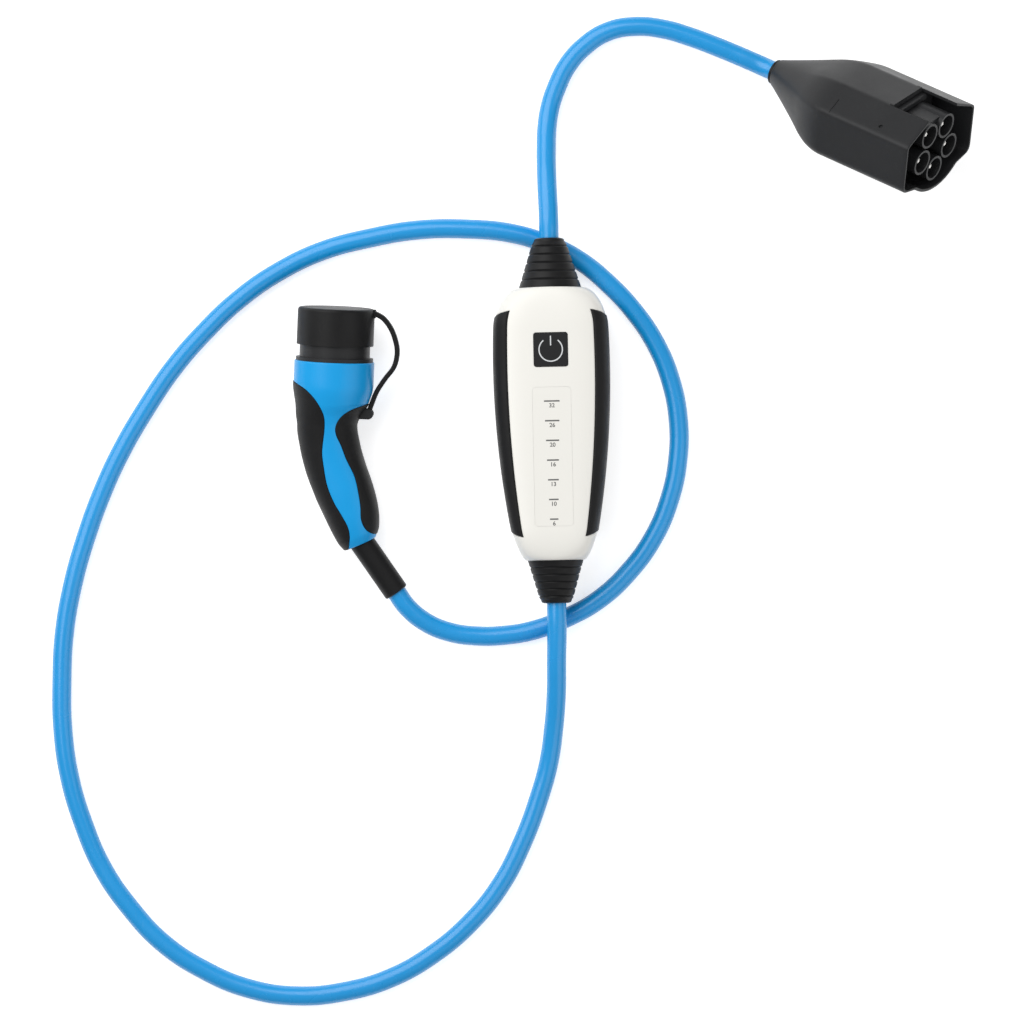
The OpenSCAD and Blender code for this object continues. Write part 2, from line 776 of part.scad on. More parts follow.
module phase_leads() {
    color(copper) for (i = [0:3])
        let (x = i < 2 ? -lead_spread : lead_spread,
            z = core_z + (i == 0 || i == 3 ? lead_spread : -lead_spread),
            pole = i < 2 ? pole_x(i) : pole_x(i + 1))
        tube([[relay_x(i), relay_y - seat, lead_z], [relay_x(i), relay_y - wire_d, lead_z],
            [x, core_y + wire_d, z], [x, core_y + cut, z], [x, core_y - core_t - wire_d, z],
            [pole, -terminal_y + 2 * wire_d, pole_z], [pole, -terminal_y + seat, pole_z]],
            wire_r, wire_sides);
}

module housing_screws() {
    color(steel) for (p = screw_places) translate([p[0], p[1], screw_well - screw_head_h - seat]) {
        cylinder(r = screw_head_r, h = screw_head_h);
        cylinder(r = screw_r, h = screw_top - screw_well + screw_head_h);
    }
}

// Vehicle connector, drawn with its front along +Y and laid down by at_connector

module at_connector() {
    translate(connector_pos) rotate([connector_tilt, 0, connector_yaw]) children();
}

function row_point(r, angle, inset) =
    let (w = (r[2] - inset) * squared(cos(angle), handle_square))
    [r[0] + w * cos(r[4]), r[1] + w * sin(r[4]), (r[3] - inset) * squared(sin(angle), handle_square)];

module handle_form(inset, rows) {
    skin([for (r = rows) [for (k = [0:handle_ring - 1]) row_point(r, -360 * k / handle_ring, inset)]]);
}

module joined_circles(places, r) {
    for (i = [0:len(places) - 2]) hull() {
        translate(places[i]) circle(r, $fn = soft_sides);
        translate(places[i + 1]) circle(r, $fn = soft_sides);
    }
}

module soft_region(places, r, grow) {
    translate([0, 0, -collar_d]) linear_extrude(2 * collar_d) joined_circles(places, r + grow);
}

module soft_grip(places, r) {
    difference() {
        intersection() {
            handle_form(-soft_proud, handle_rows);
            soft_region(places, r, 0);
        }
        handle_form(soft_sink, handle_rows);
    }
}

module relief_frame() {
    translate([relief_root[0], relief_root[1], 0]) rotate([90, 0, relief_turn]) children();
}

module relief_room() {
    relief_frame() translate([0, 0, -relief_throat])
        cylinder(r = (relief_r + fit) / cos(180 / relief_sides), h = relief_len, $fn = relief_sides);
}

// Foot of the strap's bracket out to x, or with a margin the room that it takes up
module anchor_foot(x, grow) {
    translate([anchor_root - grow, anchor[1] - eye_r - grow, -strap_w / 2 - ear_gap - ear_t - grow])
        cube([x - anchor_root + grow, 2 * eye_r + 2 * grow, strap_w + 2 * ear_gap + 2 * ear_t + 2 * grow]);
}

module anchor_room() {
    anchor_foot(anchor[0] + eye_r, seat);
}

// Wells of the handle's screws, open to the underside
module handle_wells() {
    for (p = handle_screws) translate([p[0], p[1], -collar_r])
        cylinder(r = handle_head_r + fit, h = collar_r + handle_head_z, $fn = hole_sides);
}

module handle_room() {
    inner_rows = [for (r = handle_rows) if (r[1] < -collar_len - cut && r[1] > -handle_room_end) r];
    difference() {
        handle_form(handle_wall, inner_rows);
        for (p = handle_screws) translate([p[0], p[1], -collar_r])
            cylinder(r = handle_boss_r, h = collar_d, $fn = slim_sides);
        anchor_foot(anchor[0], anchor_wall);
    }
    along_y([0, -shroud_seat, 0]) cylinder(r = shroud_r + fit, h = shroud_seat + cut, $fn = 32);
    along_y([0, contact_end - wire_start - cut, 0])
        cylinder(r = block_r - 2, h = contact_back + wire_start + 2 * cut, $fn = 16);
    relief_room();
}

module handle_half(z0) {
    difference() {
        intersection() {
            handle_form(0, handle_rows);
            translate([-collar_d, -handle_reach, z0]) cube([2 * collar_d, handle_reach + cut, collar_d]);
        }
        handle_room();
        difference() {
            union() {
                soft_region(back_soft, back_soft_r, fit);
                soft_region(front_soft, front_soft_r, fit);
            }
            handle_form(soft_sink + seat, handle_rows);
        }
        anchor_room();
        handle_wells();
        for (p = handle_screws) translate([p[0], p[1], handle_head_z - cut])
            cylinder(r = handle_screw_r + fit, h = handle_screw_len + 2 * cut, $fn = hole_sides);
    }
}

module connector_shell_upper() {
    color(blue) at_connector() handle_half(0);
}

module connector_shell_lower() {
    color(blue) at_connector() handle_half(-collar_d);
}

module connector_grip_back() {
    color(black) at_connector() difference() {
        soft_grip(back_soft, back_soft_r);
        relief_room();
        handle_wells();
    }
}

module connector_grip_front() {
    color(black) at_connector() difference() {
        soft_grip(front_soft, front_soft_r);
        anchor_room();
        handle_wells();
    }
}

// Round outline with one flat side
module block_outline(grow) {
    intersection() {
        circle(block_r + grow);
        translate([-block_flat - grow, -block_d]) square([block_d + block_flat, 2 * block_d]);
    }
}

module connector_shroud() {
    color(black) at_connector() along_y([0, -shroud_seat, 0]) difference() {
        union() {
            cylinder(r = shroud_r, h = shroud_seat + shroud_len);
            translate([0, 0, shroud_seat + seat]) cylinder(r = shroud_r + shroud_lip, h = shroud_lip);
        }
        translate([0, 0, shroud_floor]) cylinder(r = shroud_r - shroud_wall, h = shroud_seat + shroud_len);
        translate([0, 0, -cut]) linear_extrude(shroud_floor + 2 * cut) block_outline(seat);
    }
}

// Place of a contact in the block's own outline
function contact_at(c) = [-c[1], c[0]];

module contact_block() {
    len = shroud_seat + block_front;
    color("#2b2d30") at_connector() along_y([0, -shroud_seat, 0]) difference() {
        linear_extrude(len) block_outline(0);
        for (c = power_contacts) translate(contact_at(c)) {
            translate([0, 0, -cut]) cylinder(r = power_r + seat, h = len - contact_nose + cut);
            cylinder(r = power_bore, h = len + cut);
        }
        for (c = signal_contacts) translate(contact_at(c)) {
            translate([0, 0, -cut]) cylinder(r = signal_r + seat, h = len - contact_nose + cut);
            cylinder(r = signal_bore, h = len + cut);
        }
    }
}

// Contact sleeve: closed at the back, open to the front
module contact_sleeve(r, bore) {
    len = contact_back + shroud_seat + block_front - contact_nose - seat;
    translate([0, 0, -contact_back]) difference() {
        cylinder(r = r, h = len);
        translate([0, 0, contact_back * 2]) cylinder(r = bore, h = len);
    }
}

module contacts() {
    color(copper) at_connector() along_y([0, -shroud_seat, 0]) {
        for (c = power_contacts) translate(contact_at(c)) contact_sleeve(power_r, power_bore);
        for (c = signal_contacts) translate(contact_at(c)) contact_sleeve(signal_r, signal_bore);
    }
}

// Wires from the contacts gather at the cable's end in the handle
relief_side = [cos(relief_turn), sin(relief_turn), 0];
tail_start = [relief_root[0], relief_root[1], 0] - connector_tail * relief_dir;
gather = 0.7;
gather_y = -62;
gather_r = 5.6;

module connector_leads() {
    all_contacts = concat(power_contacts, signal_contacts);
    color(blue) at_connector() relief_frame()
        translate([0, 0, -connector_tail]) cylinder(r = cable_r, h = relief_len + connector_tail);
    color(copper) at_connector() for (i = [0:len(all_contacts) - 1])
        let (c = all_contacts[i], x = -c[1], z = -c[0],
            r = i < len(power_contacts) ? power_wire_r : signal_wire_r,
            a = i == 0 ? 0 : atan2(z, x),
            end = tail_start + (i == 0 ? 0 : gather_r) * (cos(a) * relief_side + [0, 0, sin(a)]))
        tube([[x, contact_end - seat, z], [x, contact_end - wire_start, z],
            [x * gather - 2, gather_y, z * gather], end - 2 * wire_start * relief_dir,
            end - seat * relief_dir], r, wire_sides);
}

module connector_boot() {
    color(black) at_connector() relief_frame() rotate_extrude()
        polygon([[cable_r + fit, 0], [relief_r, 0], [relief_r, relief_len - relief_edge],
            [relief_r - relief_edge, relief_len], [cable_r + fit, relief_len]]);
}

module connector_screws() {
    color(steel) at_connector() for (p = handle_screws) translate([p[0], p[1], handle_head_z - seat]) {
        cylinder(r = handle_screw_r, h = handle_screw_len);
        translate([0, 0, -handle_head_h]) cylinder(r = handle_head_r, h = handle_head_h);
    }
}

module protective_cap() {
    rim = [cap_r - cap_round, cap_len - cap_round];
    edge = [for (a = [0:22.5:90]) rim + cap_round * [cos(a), sin(a)]];
    color(black) at_connector() difference() {
        union() {
            along_y([0, cap_from, 0])
                rotate_extrude() polygon(concat([[0, 0], [cap_r, 0]], edge, [[0, cap_len]]));
            translate([cap_r - tab_root, tab_y - tab_h / 2, -strap_w / 2 - tab_edge])
                cube([tab_x - cap_r + tab_root, tab_h, strap_w + 2 * tab_edge]);
        }
        along_y([0, cap_from - cut, 0]) cylinder(r = cap_r - cap_wall, h = cap_len - cap_top + cut);
    }
}

// Flat strap on edge along its route, with an eye at the bracket
module cap_strap() {
    line = smooth(strap_route, 3);
    function side_of(i, s) = let (d = unit(line[min(i + 1, len(line) - 1)] - line[max(i - 1, 0)]))
        line[i] + s * strap_t / 2 * [-d[1], d[0]];
    color(black) at_connector() translate([0, 0, -strap_w / 2]) difference() {
        linear_extrude(strap_w) union() {
            polygon(concat([[tab_x + seat, tab_y + strap_t / 2], [tab_x + seat, tab_y - strap_t / 2]],
                [for (i = [1:len(line) - 1]) side_of(i, -1)],
                [for (i = [len(line) - 1:-1:1]) side_of(i, 1)]));
            translate(anchor) circle(eye_r);
        }
        translate([anchor[0], anchor[1], -cut]) cylinder(r = anchor_pin_r + pin_gap, h = strap_w + 2 * cut);
    }
}

module strap_anchor() {
    ear_z = strap_w / 2 + ear_gap;
    color(black) at_connector() {
        anchor_foot(anchor[0] - eye_r - ear_gap, 0);
        for (s = [-1, 1]) translate([0, 0, s * (ear_z + ear_t / 2) - ear_t / 2]) linear_extrude(ear_t) {
            translate([anchor_root, anchor[1] - eye_r]) square([anchor[0] - anchor_root, 2 * eye_r]);
            translate(anchor) circle(eye_r);
        }
        translate([anchor[0], anchor[1], -ear_z - ear_t / 2])
            cylinder(r = anchor_pin_r, h = 2 * ear_z + ear_t);
    }
}

// Supply plug, drawn along +Z with its notch along +Y and laid down by at_plug

module at_plug() {
    translate(plug_pos) rotate([0, 90 - plug_lean, plug_heading]) rotate([0, 0, plug_roll]) children();
}

module plug_outline() {
    polygon([[plug_side, plug_heel_side], [plug_side, plug_shoulder], [plug_brow, plug_top],
        [-plug_brow, plug_top], [-plug_side, plug_shoulder], [-plug_side, plug_heel_side],
        [-plug_heel[0], plug_heel[1]], [-plug_belly[0], plug_belly[1]], [plug_belly[0], plug_belly[1]],
        [plug_heel[0], plug_heel[1]]]);
    intersection() {
        translate([0, belly_y]) circle(belly_r, $fn = 96);
        translate([-plug_belly[0], plug_belly[1] - belly_r]) square([2 * plug_belly[0], belly_r + 1]);
    }
}

module pin_places() {
    for (a = pin_angles)
        translate([pin_circle * cos(a), core_shift + pin_circle * sin(a), 0]) children();
}

module plug_housing() {
    color(black) at_plug() difference() {
        union() {
            translate([0, 0, plug_tail]) linear_extrude(plug_len - plug_tail) plug_outline();
            hull() {
                translate([0, 0, plug_tail]) linear_extrude(sliver) plug_outline();
                cylinder(r = plug_tail_r, h = 1, $fn = 32);
            }
            translate([-notch_half + ridge_foot, plug_top - ridge_foot, ridge_from])
                cube([2 * (notch_half - ridge_foot), ridge_high + ridge_foot, ridge_wide]);
        }
        translate([0, 0, core_from]) linear_extrude(plug_depth + cut)
            offset(delta = -plug_wall) plug_outline();
        translate([-notch_half, plug_shoulder, plug_len - notch_len])
            cube([2 * notch_half, plug_top, notch_len + cut]);
        translate([0, 0, wire_room_from]) cylinder(r = wire_room_r, h = core_from - wire_room_from + cut);
        translate([0, 0, bush_len - cut]) cylinder(r = cable_r + fit, h = wire_room_from);
        translate([0, 0, -cut]) cylinder(r = bush_r + seat, h = bush_len + cut);
    }
}

module plug_core() {
    bridge_top = core_shift + pin_circle * sin(pin_angles[2]) + sleeve_r - bridge_drop;
    color("#242628") at_plug() difference() {
        union() {
            translate([0, 0, core_from + seat]) linear_extrude(core_floor)
                offset(delta = -plug_wall - fit) plug_outline();
            translate([-core_bridge[0] / 2, bridge_top - core_bridge[1], core_from + core_floor])
                cube([core_bridge[0], core_bridge[1], sleeve_len - bridge_recess]);
        }
        pin_places() translate([0, 0, core_from + core_floor + seat])
            cylinder(r = sleeve_r + seat, h = plug_depth);
        pin_places() translate([0, 0, core_from - cut])
            cylinder(r = pin_r + pin_root + seat, h = core_floor + 2 * cut);
    }
}

module plug_sleeves() {
    color("#242628") at_plug() pin_places()
    translate([0, 0, core_from + core_floor + 2 * seat]) difference() {
        cylinder(r = sleeve_r, h = sleeve_len);
        translate([0, 0, -cut]) cylinder(r = sleeve_r - sleeve_wall, h = plug_depth);
    }
}

module plug_pins() {
    root = pin_back + core_floor + seat;
    len = plug_depth - pin_recess - core_floor - seat - pin_r;
    color(steel) at_plug() pin_places() translate([0, 0, core_from - pin_back]) {
        cylinder(r = pin_r + pin_root, h = root);
        translate([0, 0, root]) cylinder(r = pin_r, h = len);
        translate([0, 0, root + len]) sphere(pin_r);
    }
}

module plug_boot() {
    color(black) at_plug() translate([0, 0, -bush_out]) difference() {
        cylinder(r = bush_r, h = bush_len + bush_out - seat);
        translate([0, 0, -cut]) cylinder(r = cable_r + fit, h = bush_len + bush_out + 2 * cut);
    }
}

module plug_leads() {
    room_end = core_from - pin_back;
    color(blue) at_plug() cylinder(r = cable_r, h = wire_room_from + plug_tail_in);
    color(copper) at_plug() for (a = pin_angles)
        let (from = [wire_turn * cos(a), wire_turn * sin(a), wire_room_from + plug_tail_in + seat],
            to = [pin_circle * cos(a), core_shift + pin_circle * sin(a), room_end - seat])
        steep_wire([from, from + [0, 0, plug_wire_start], to - [0, 0, plug_wire_start], to]);
}

// Wire along a route that climbs steeply, on level rings
module steep_wire(route) {
    skin([for (p = route) [for (k = [0:wire_sides - 1])
        p + wire_r * [cos(360 * k / wire_sides), -sin(360 * k / wire_sides), 0]]]);
}

// Cables

module supply_cable() {
    color(blue) tube(supply_route, cable_r, cable_sides);
}

module vehicle_cable() {
    color(blue) tube(vehicle_route, cable_r, cable_sides);
}

box_upper_shell();
box_lower_shell();
housing_seal();
side_grip_left();
side_grip_right();
touch_plate();
scale_window();
light_guide();
cable_boot_top();
cable_boot_bottom();
cable_clamp_top();
cable_clamp_bottom();
control_board();
board_screws();
relays();
fault_current_sensor();
power_module();
supply_terminals();
vehicle_terminals();
supply_leads();
vehicle_leads();
phase_leads();
housing_screws();
connector_shell_upper();
connector_shell_lower();
connector_grip_back();
connector_grip_front();
connector_shroud();
contact_block();
contacts();
connector_leads();
connector_boot();
connector_screws();
protective_cap();
cap_strap();
strap_anchor();
plug_housing();
plug_core();
plug_sleeves();
plug_pins();
plug_boot();
plug_leads();
supply_cable();
vehicle_cable();
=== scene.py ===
import math
from contextlib import contextmanager

import bmesh
import bpy
from bpy.props import FloatProperty, FloatVectorProperty, IntProperty, PointerProperty
from mathutils import Matrix, Vector


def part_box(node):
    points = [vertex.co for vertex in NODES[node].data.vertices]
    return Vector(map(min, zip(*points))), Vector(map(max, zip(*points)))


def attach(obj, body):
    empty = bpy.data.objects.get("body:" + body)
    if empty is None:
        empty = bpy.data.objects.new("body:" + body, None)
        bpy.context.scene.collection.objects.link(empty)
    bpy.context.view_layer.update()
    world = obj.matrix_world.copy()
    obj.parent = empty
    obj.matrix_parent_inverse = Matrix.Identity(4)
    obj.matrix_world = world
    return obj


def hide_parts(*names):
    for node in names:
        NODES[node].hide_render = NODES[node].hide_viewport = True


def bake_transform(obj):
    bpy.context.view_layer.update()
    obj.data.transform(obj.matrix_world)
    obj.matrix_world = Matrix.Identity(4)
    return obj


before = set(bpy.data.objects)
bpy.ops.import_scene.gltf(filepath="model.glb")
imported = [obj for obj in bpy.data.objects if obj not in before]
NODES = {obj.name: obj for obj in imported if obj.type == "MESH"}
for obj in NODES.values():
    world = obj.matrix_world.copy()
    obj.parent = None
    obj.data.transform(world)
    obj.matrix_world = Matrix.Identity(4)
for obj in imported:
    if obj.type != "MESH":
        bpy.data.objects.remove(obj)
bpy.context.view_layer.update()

bl_info = {
    "name": "Portable charger looks",
    "version": (1, 0, 0),
    "blender": (4, 5, 0),
    "location": "View3D > Sidebar > Charger",
    "description": "Smooth shells, cables, print and finishes on the packed portable charger",
    "category": "Object",
}

BOX_LOW, BOX_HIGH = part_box("box_upper_shell")

# Largest angles that are shaded smooth, and the distance below which points are one
SMOOTH, CAD_SMOOTH = math.radians(32), math.radians(28)
MERGE = 2e-7

# Height of the axis of a cable that lies on the floor, in millimetres
LYING = 8.4


def in_metres(rows):
    """Rows of millimetres in metres, to the micrometre."""
    return [tuple(round(v / 1000, 6) for v in row) for row in rows]


def on_floor(rows):
    """Points of a cable's axis, where one without a height lies on the floor."""
    return in_metres((*row, LYING)[:3] for row in rows)


# Routes of the two cables, without the ends that lie in the plug and the connector
SUPPLY_ROUTE = on_floor([
    (0, 157, 34), (0, 174, 34), (-1, 210, 27), (-1, 235, 18), (0, 255, 11.5), (3, 272, 9), (9, 289),
    (19, 308), (34, 324), (54, 336), (78, 340), (103, 337), (127, 329.3), (150, 320), (169.5, 311.4, 8.5)])
VEHICLE_ROUTE = on_floor([
    (0, -157, 34), (0, -176, 34), (-1, -205, 30), (-2, -235, 23), (-5, -265, 15), (-10, -295, 9.8),
    (-19, -325), (-34, -363), (-54, -400), (-81, -432), (-113, -458), (-150, -478), (-190, -489),
    (-232, -492), (-273, -485), (-312, -468), (-347, -444), (-375, -413), (-398, -378), (-414, -339),
    (-425, -299), (-430, -258), (-430, -216), (-427, -174), (-419, -133), (-407, -93), (-392, -54),
    (-374, -17), (-352, 19), (-328, 53), (-300, 84), (-269, 112), (-234, 135), (-196, 152), (-155, 162),
    (-114, 168), (-72, 168), (-31, 163), (0, 152.5), (25, 139), (50, 118), (73, 92), (90, 65), (102, 34),
    (108, 0), (107, -35), (99, -70), (84, -103), (62, -132), (36, -155), (8, -170), (-20, -180),
    (-46, -184), (-71, -184, 8.8), (-94, -180, 10.5), (-114, -171, 13.2)])

# Rows of the handle: centre x and y, half width and half thickness, and the turn of each row in degrees
HANDLE_ROWS = in_metres([
    (0, 0, 34.4, 34.4), (0, -20, 34.4, 34.4), (-0.5, -36, 31.4, 31.4), (-3.1, -47, 27.7, 27),
    (-4, -56, 25.5, 25), (-1, -73, 25.5, 23.5), (4, -90, 25.5, 23), (12, -110, 25, 23),
    (20.5, -131, 22.8, 22), (26.5, -149, 18.8, 18.5), (28.5, -157, 14.5, 14)])
HANDLE_TURNS = (0, 0, 1, 2, 3, 6, 11, 15, 19, 24, 26)

# Edges of the two soft grips, and the screws, seen from above the handle
BACK_EDGE = in_metres([
    (-34.8, -18), (-25.2, -22.2), (-18.6, -26.9), (-12.9, -33), (-8.5, -39.6), (-5.8, -45.8), (-4.8, -52.1),
    (-4.9, -60.2), (-5.8, -70.2), (-6.1, -79.3), (-4.5, -89.7), (-1.1, -105.4), (5.2, -120), (12.2, -130.9),
    (18, -140.8), (20, -149.1), (19.5, -158), (18, -168)])
FRONT_EDGE = in_metres([
    (34.5, -34.5), (21.7, -38.2), (13.7, -42.3), (7.7, -47.9), (4.4, -55.3), (5.2, -62.5), (9.6, -71.3),
    (14.8, -83.5), (21.9, -96.9), (25.7, -109.8), (28.2, -122.7), (29.2, -133.9), (32.3, -141.2),
    (37.2, -145.7), (47, -149)])
HANDLE_SCREWS = in_metres([(-20, -60), (-9, -95), (29, -116)])

# Route of the cap's strap in the connector's own plane
STRAP_ROUTE = in_metres([
    (32.5, 42.3), (34.15, 41.8), (41, 38), (47.5, 30), (52, 19.5), (53.8, 9), (51.5, -3), (44, -14),
    (37.5, -25), (33.5, -36), (31, -44.5)])

# Steps of the charging current that the scale shows
SCALE_NUMBERS = ("32", "26", "20", "16", "13", "10", "6")


def length_prop(name, description, default):
    """A length setting in metres."""
    return FloatProperty(name=name, description=description, default=default, unit="LENGTH", precision=4)


def place_prop(name, description, default):
    """A place setting in metres."""
    return FloatVectorProperty(name=name, description=description, default=default, unit="LENGTH")


def angle_prop(name, description, degrees):
    """An angle setting with its default in degrees."""
    return FloatProperty(name=name, description=description, default=math.radians(degrees), subtype="ANGLE")


def colour_prop(name, description, default):
    """A colour setting."""
    return FloatVectorProperty(name=name, description=description, default=default, subtype="COLOR", size=3,
                               min=0, max=1)


class BoxSettings(bpy.types.PropertyGroup):
    """Sizes and colours of the control box."""
    width: length_prop("Width", "Width of the housing at its widest", 0.099)
    height: length_prop("Height", "Height of the housing", BOX_HIGH.z)
    axis: length_prop("Axis", "Height of the cable axes", BOX_LOW.z)
    wall: length_prop("Wall", "Wall of the housing", 0.0044)
    square: FloatProperty(name="Squareness", description="Squareness of the cross-section", default=4.5)
    grip_sink: length_prop("Grip depth", "Depth of the side grips in the housing", 0.002)
    grip_proud: length_prop("Grip height", "Height of the side grips above the housing", 0.0008)
    grip_angle: angle_prop("Grip angle", "Angle of the grips' edges", 57)
    white: colour_prop("Shell", "Colour of the housing", (0.94, 0.925, 0.87))
    black: colour_prop("Rubber", "Colour of the grips and boots", (0.0095, 0.0095, 0.010))


class FrontSettings(bpy.types.PropertyGroup):
    """Touch plate, scale window and their print."""
    ring: length_prop("Ring", "Radius of the ring on the touch plate", 0.0100)
    line: length_prop("Line", "Width of the printed lines", 0.0010)
    mark: length_prop("Mark", "Thickness of a scale mark", 0.0013)
    number: length_prop("Number", "Size of the scale's numbers", 0.0050)
    drop: length_prop("Drop", "Distance of a number's foot below its mark", 0.0054)
    bold: length_prop("Bold", "Width added to each side of a number's strokes", 0.0001)
    grey: colour_prop("Print", "Colour of the scale's print", (0.15, 0.15, 0.147))
    light: colour_prop("Symbol", "Colour of the symbol on the touch plate", (0.72, 0.74, 0.75))


class ConnectorSettings(bpy.types.PropertyGroup):
    """Place, sizes and colours of the vehicle connector."""
    place: place_prop("Place", "Middle of the collar's front edge", (-0.1867, 0.0554, 0.036459))
    tilt: angle_prop("Tilt", "Tilt of the axis", 5.5)
    yaw: angle_prop("Yaw", "Turn about the vertical", -3.7)
    wall: length_prop("Wall", "Wall of the handle", 0.00395)
    sink: length_prop("Grip depth", "Depth of the soft grips", 0.0016)
    proud: length_prop("Grip height", "Height of the soft grips above the handle", 0.0005)
    strap: length_prop("Strap", "Thickness of the cap's strap", 0.0042)
    strap_width: length_prop("Strap width", "Width of the cap's strap", 0.010)
    blue: colour_prop("Shell", "Colour of the handle", (0.005, 0.375, 0.84))


class PlugSettings(bpy.types.PropertyGroup):
    """Place, sizes and colours of the supply plug."""
    place: place_prop("Place", "Middle of the tail's end", (0.2004, 0.2961, 0.016833))
    lean: angle_prop("Lean", "Rise of the axis", 28)
    heading: angle_prop("Heading", "Turn about the vertical", -28)
    roll: angle_prop("Roll", "Turn about its own axis", 41)
    length: length_prop("Length", "Length of the plug", 0.171)
    tail: length_prop("Tail", "Length of the tapered tail", 0.065)
    depth: length_prop("Depth", "Depth of the open front", 0.050)
    notch: length_prop("Notch", "Length of the notch in the top", 0.036)
    ridge: length_prop("Ridge", "Height of the ridge behind the notch", 0.0012)
    wall: length_prop("Wall", "Wall of the open front", 0.0026)
    grey: colour_prop("Shell", "Colour of the plug", (0.0245, 0.025, 0.0265))


class CableSettings(bpy.types.PropertyGroup):
    """Sizes and colour of the two cables."""
    diameter: length_prop("Diameter", "Diameter of the cable", 0.0168)
    supply_length: length_prop("Supply length", "Length of the cable to its end in the plug", 0.41)
    in_plug: length_prop("In the plug", "Length of the cable that runs on inside the plug's tail", 0.045)
    vehicle_length: length_prop("Vehicle length", "Length of the cable to its end in the connector", 2.10)
    in_boot: length_prop("In the boot", "Length of the cable that runs on inside the connector's boot", 0.03)
    rounding: IntProperty(name="Rounding", description="Steps round a quarter of the cable", default=8)
    blue: colour_prop("Sheath", "Colour of the cables", (0.009, 0.345, 0.80))


class StageSettings(bpy.types.PropertyGroup):
    """Camera, floor and light."""
    eye: place_prop("Eye", "Place of the camera", (0.07342, -0.12409, 4.92507))
    lens: FloatProperty(name="Lens", description="Focal length", subtype="DISTANCE_CAMERA", default=200)
    key: FloatProperty(name="Key", description="Power of the main light in watts", default=68)
    fill: FloatProperty(name="Fill", description="Power of the filling light in watts", default=16)
    sky: FloatProperty(name="Sky", description="Strength of the even light", default=0.34)
    floor: colour_prop("Floor", "Colour of the floor", (0.9, 0.9, 0.9))


SETTINGS = (("charger_box", BoxSettings), ("charger_front", FrontSettings),
            ("charger_connector", ConnectorSettings), ("charger_plug", PlugSettings),
            ("charger_cable", CableSettings), ("charger_stage", StageSettings))


# Meshes

def linked(name, data):
    """A new object in the scene."""
    obj = bpy.data.objects.new(name, data)
    bpy.context.scene.collection.objects.link(obj)
    return obj


def raw_mesh(name, points, faces):
    """A mesh of the given points and faces."""
    mesh = bpy.data.meshes.new(name)
    mesh.from_pydata([tuple(p) for p in points], [], faces)
    return mesh


def final_mesh(obj):
    """An object's mesh with its modifiers or its curves worked out."""
    return bpy.data.meshes.new_from_object(obj.evaluated_get(bpy.context.evaluated_depsgraph_get()))


def make_object(name, mesh, look, body="charger"):
    """A piece of the object from a finished mesh."""
    obj = linked(name, mesh)
    mesh.materials.clear()
    mesh.materials.append(finish(look))
    if body:
        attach(obj, body)
    return obj


@contextmanager
def editing(mesh):
    """A mesh opened for editing, and written back after it."""
    bm = bmesh.new()
    bm.from_mesh(mesh)
    yield bm
    bm.to_mesh(mesh)
    bm.free()


def make_mesh(name, points, faces, angle=SMOOTH):
    """A closed, merged mesh that is smooth up to an angle."""
    mesh = raw_mesh(name, points, faces)
    with editing(mesh) as bm:
        bmesh.ops.remove_doubles(bm, verts=bm.verts, dist=MERGE)
        bmesh.ops.dissolve_degenerate(bm, edges=bm.edges, dist=MERGE)
        bmesh.ops.triangulate(bm, faces=[f for f in bm.faces if len(f.verts) > 4])
        bmesh.ops.recalc_face_normals(bm, faces=bm.faces)
    smooth(mesh, angle)
    return mesh


def smooth(mesh, angle=SMOOTH):
    """Smooth shading with sharp edges above an angle."""
    mesh.shade_smooth()
    mesh.set_sharp_from_angle(angle=angle)


def swept(name, loops, angle=SMOOTH):
    """A mesh through closed loops of equal counts of points, with its ends filled."""
    n, last = len(loops[0]), len(loops) - 1
    points = [p for loop in loops for p in loop]
    faces = [(i * n + j, i * n + (j + 1) % n, (i + 1) * n + (j + 1) % n, (i + 1) * n + j)
             for i in range(last) for j in range(n)]
    faces += [tuple(range(n)), tuple(range(last * n, last * n + n))]
    return make_mesh(name, points, faces, angle)


def loft(name, loops, look, node, body="charger", angle=SMOOTH):
    """A piece through closed loops that stands for a CAD node."""
    obj = make_object(name, swept(name, loops, angle), look, body)
    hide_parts(node)
    return obj


def carve(obj, cutters, angle=SMOOTH, adds=()):
    """Joins solids to a piece, takes cutters out of it, and deletes both."""
    steps = [(other, "UNION") for other in adds] + [(cutter, "DIFFERENCE") for cutter in cutters]
    for other, operation in steps:
        tool = obj.modifiers.new("cut", "BOOLEAN")
        tool.object, tool.operation, tool.solver = other, operation, "EXACT"
    done = final_mesh(obj)
    obj.modifiers.clear()
    obj.data = done
    for other, _ in steps:
        bpy.data.objects.remove(other)
    smooth(done, angle)


def prism(outline, low, high, place=Matrix()):
    """A cutter over an outline between two heights."""
    loops = [[place @ Vector((x, y, z)) for x, y in outline] for z in (low, high)]
    return linked("cutter", swept("cutter", loops))


def rounded_square(width, length, radius, centre, steps=8):
    """Outline of a plate with round corners."""
    corners = [(1, 1, 0), (-1, 1, 90), (-1, -1, 180), (1, -1, 270)]
    return [(centre[0] + sx * (width / 2 - radius) + radius * math.cos(math.radians(a + 90 * k / steps)),
             centre[1] + sy * (length / 2 - radius) + radius * math.sin(math.radians(a + 90 * k / steps)))
            for sx, sy, a in corners for k in range(steps + 1)]


def oblong(left, low, right, high):
    """Outline of a rectangle."""
    return [(left, low), (right, low), (right, high), (left, high)]


def circle(radius, centre, steps=32):
    """Outline of a circle."""
    x, y = centre
    turns = [math.tau * k / steps for k in range(steps)]
    return [(x + radius * math.cos(a), y + radius * math.sin(a)) for a in turns]


def spread(low, high, count):
    """Evenly spaced values from low to high."""
    return [low + (high - low) * k / count for k in range(count + 1)]


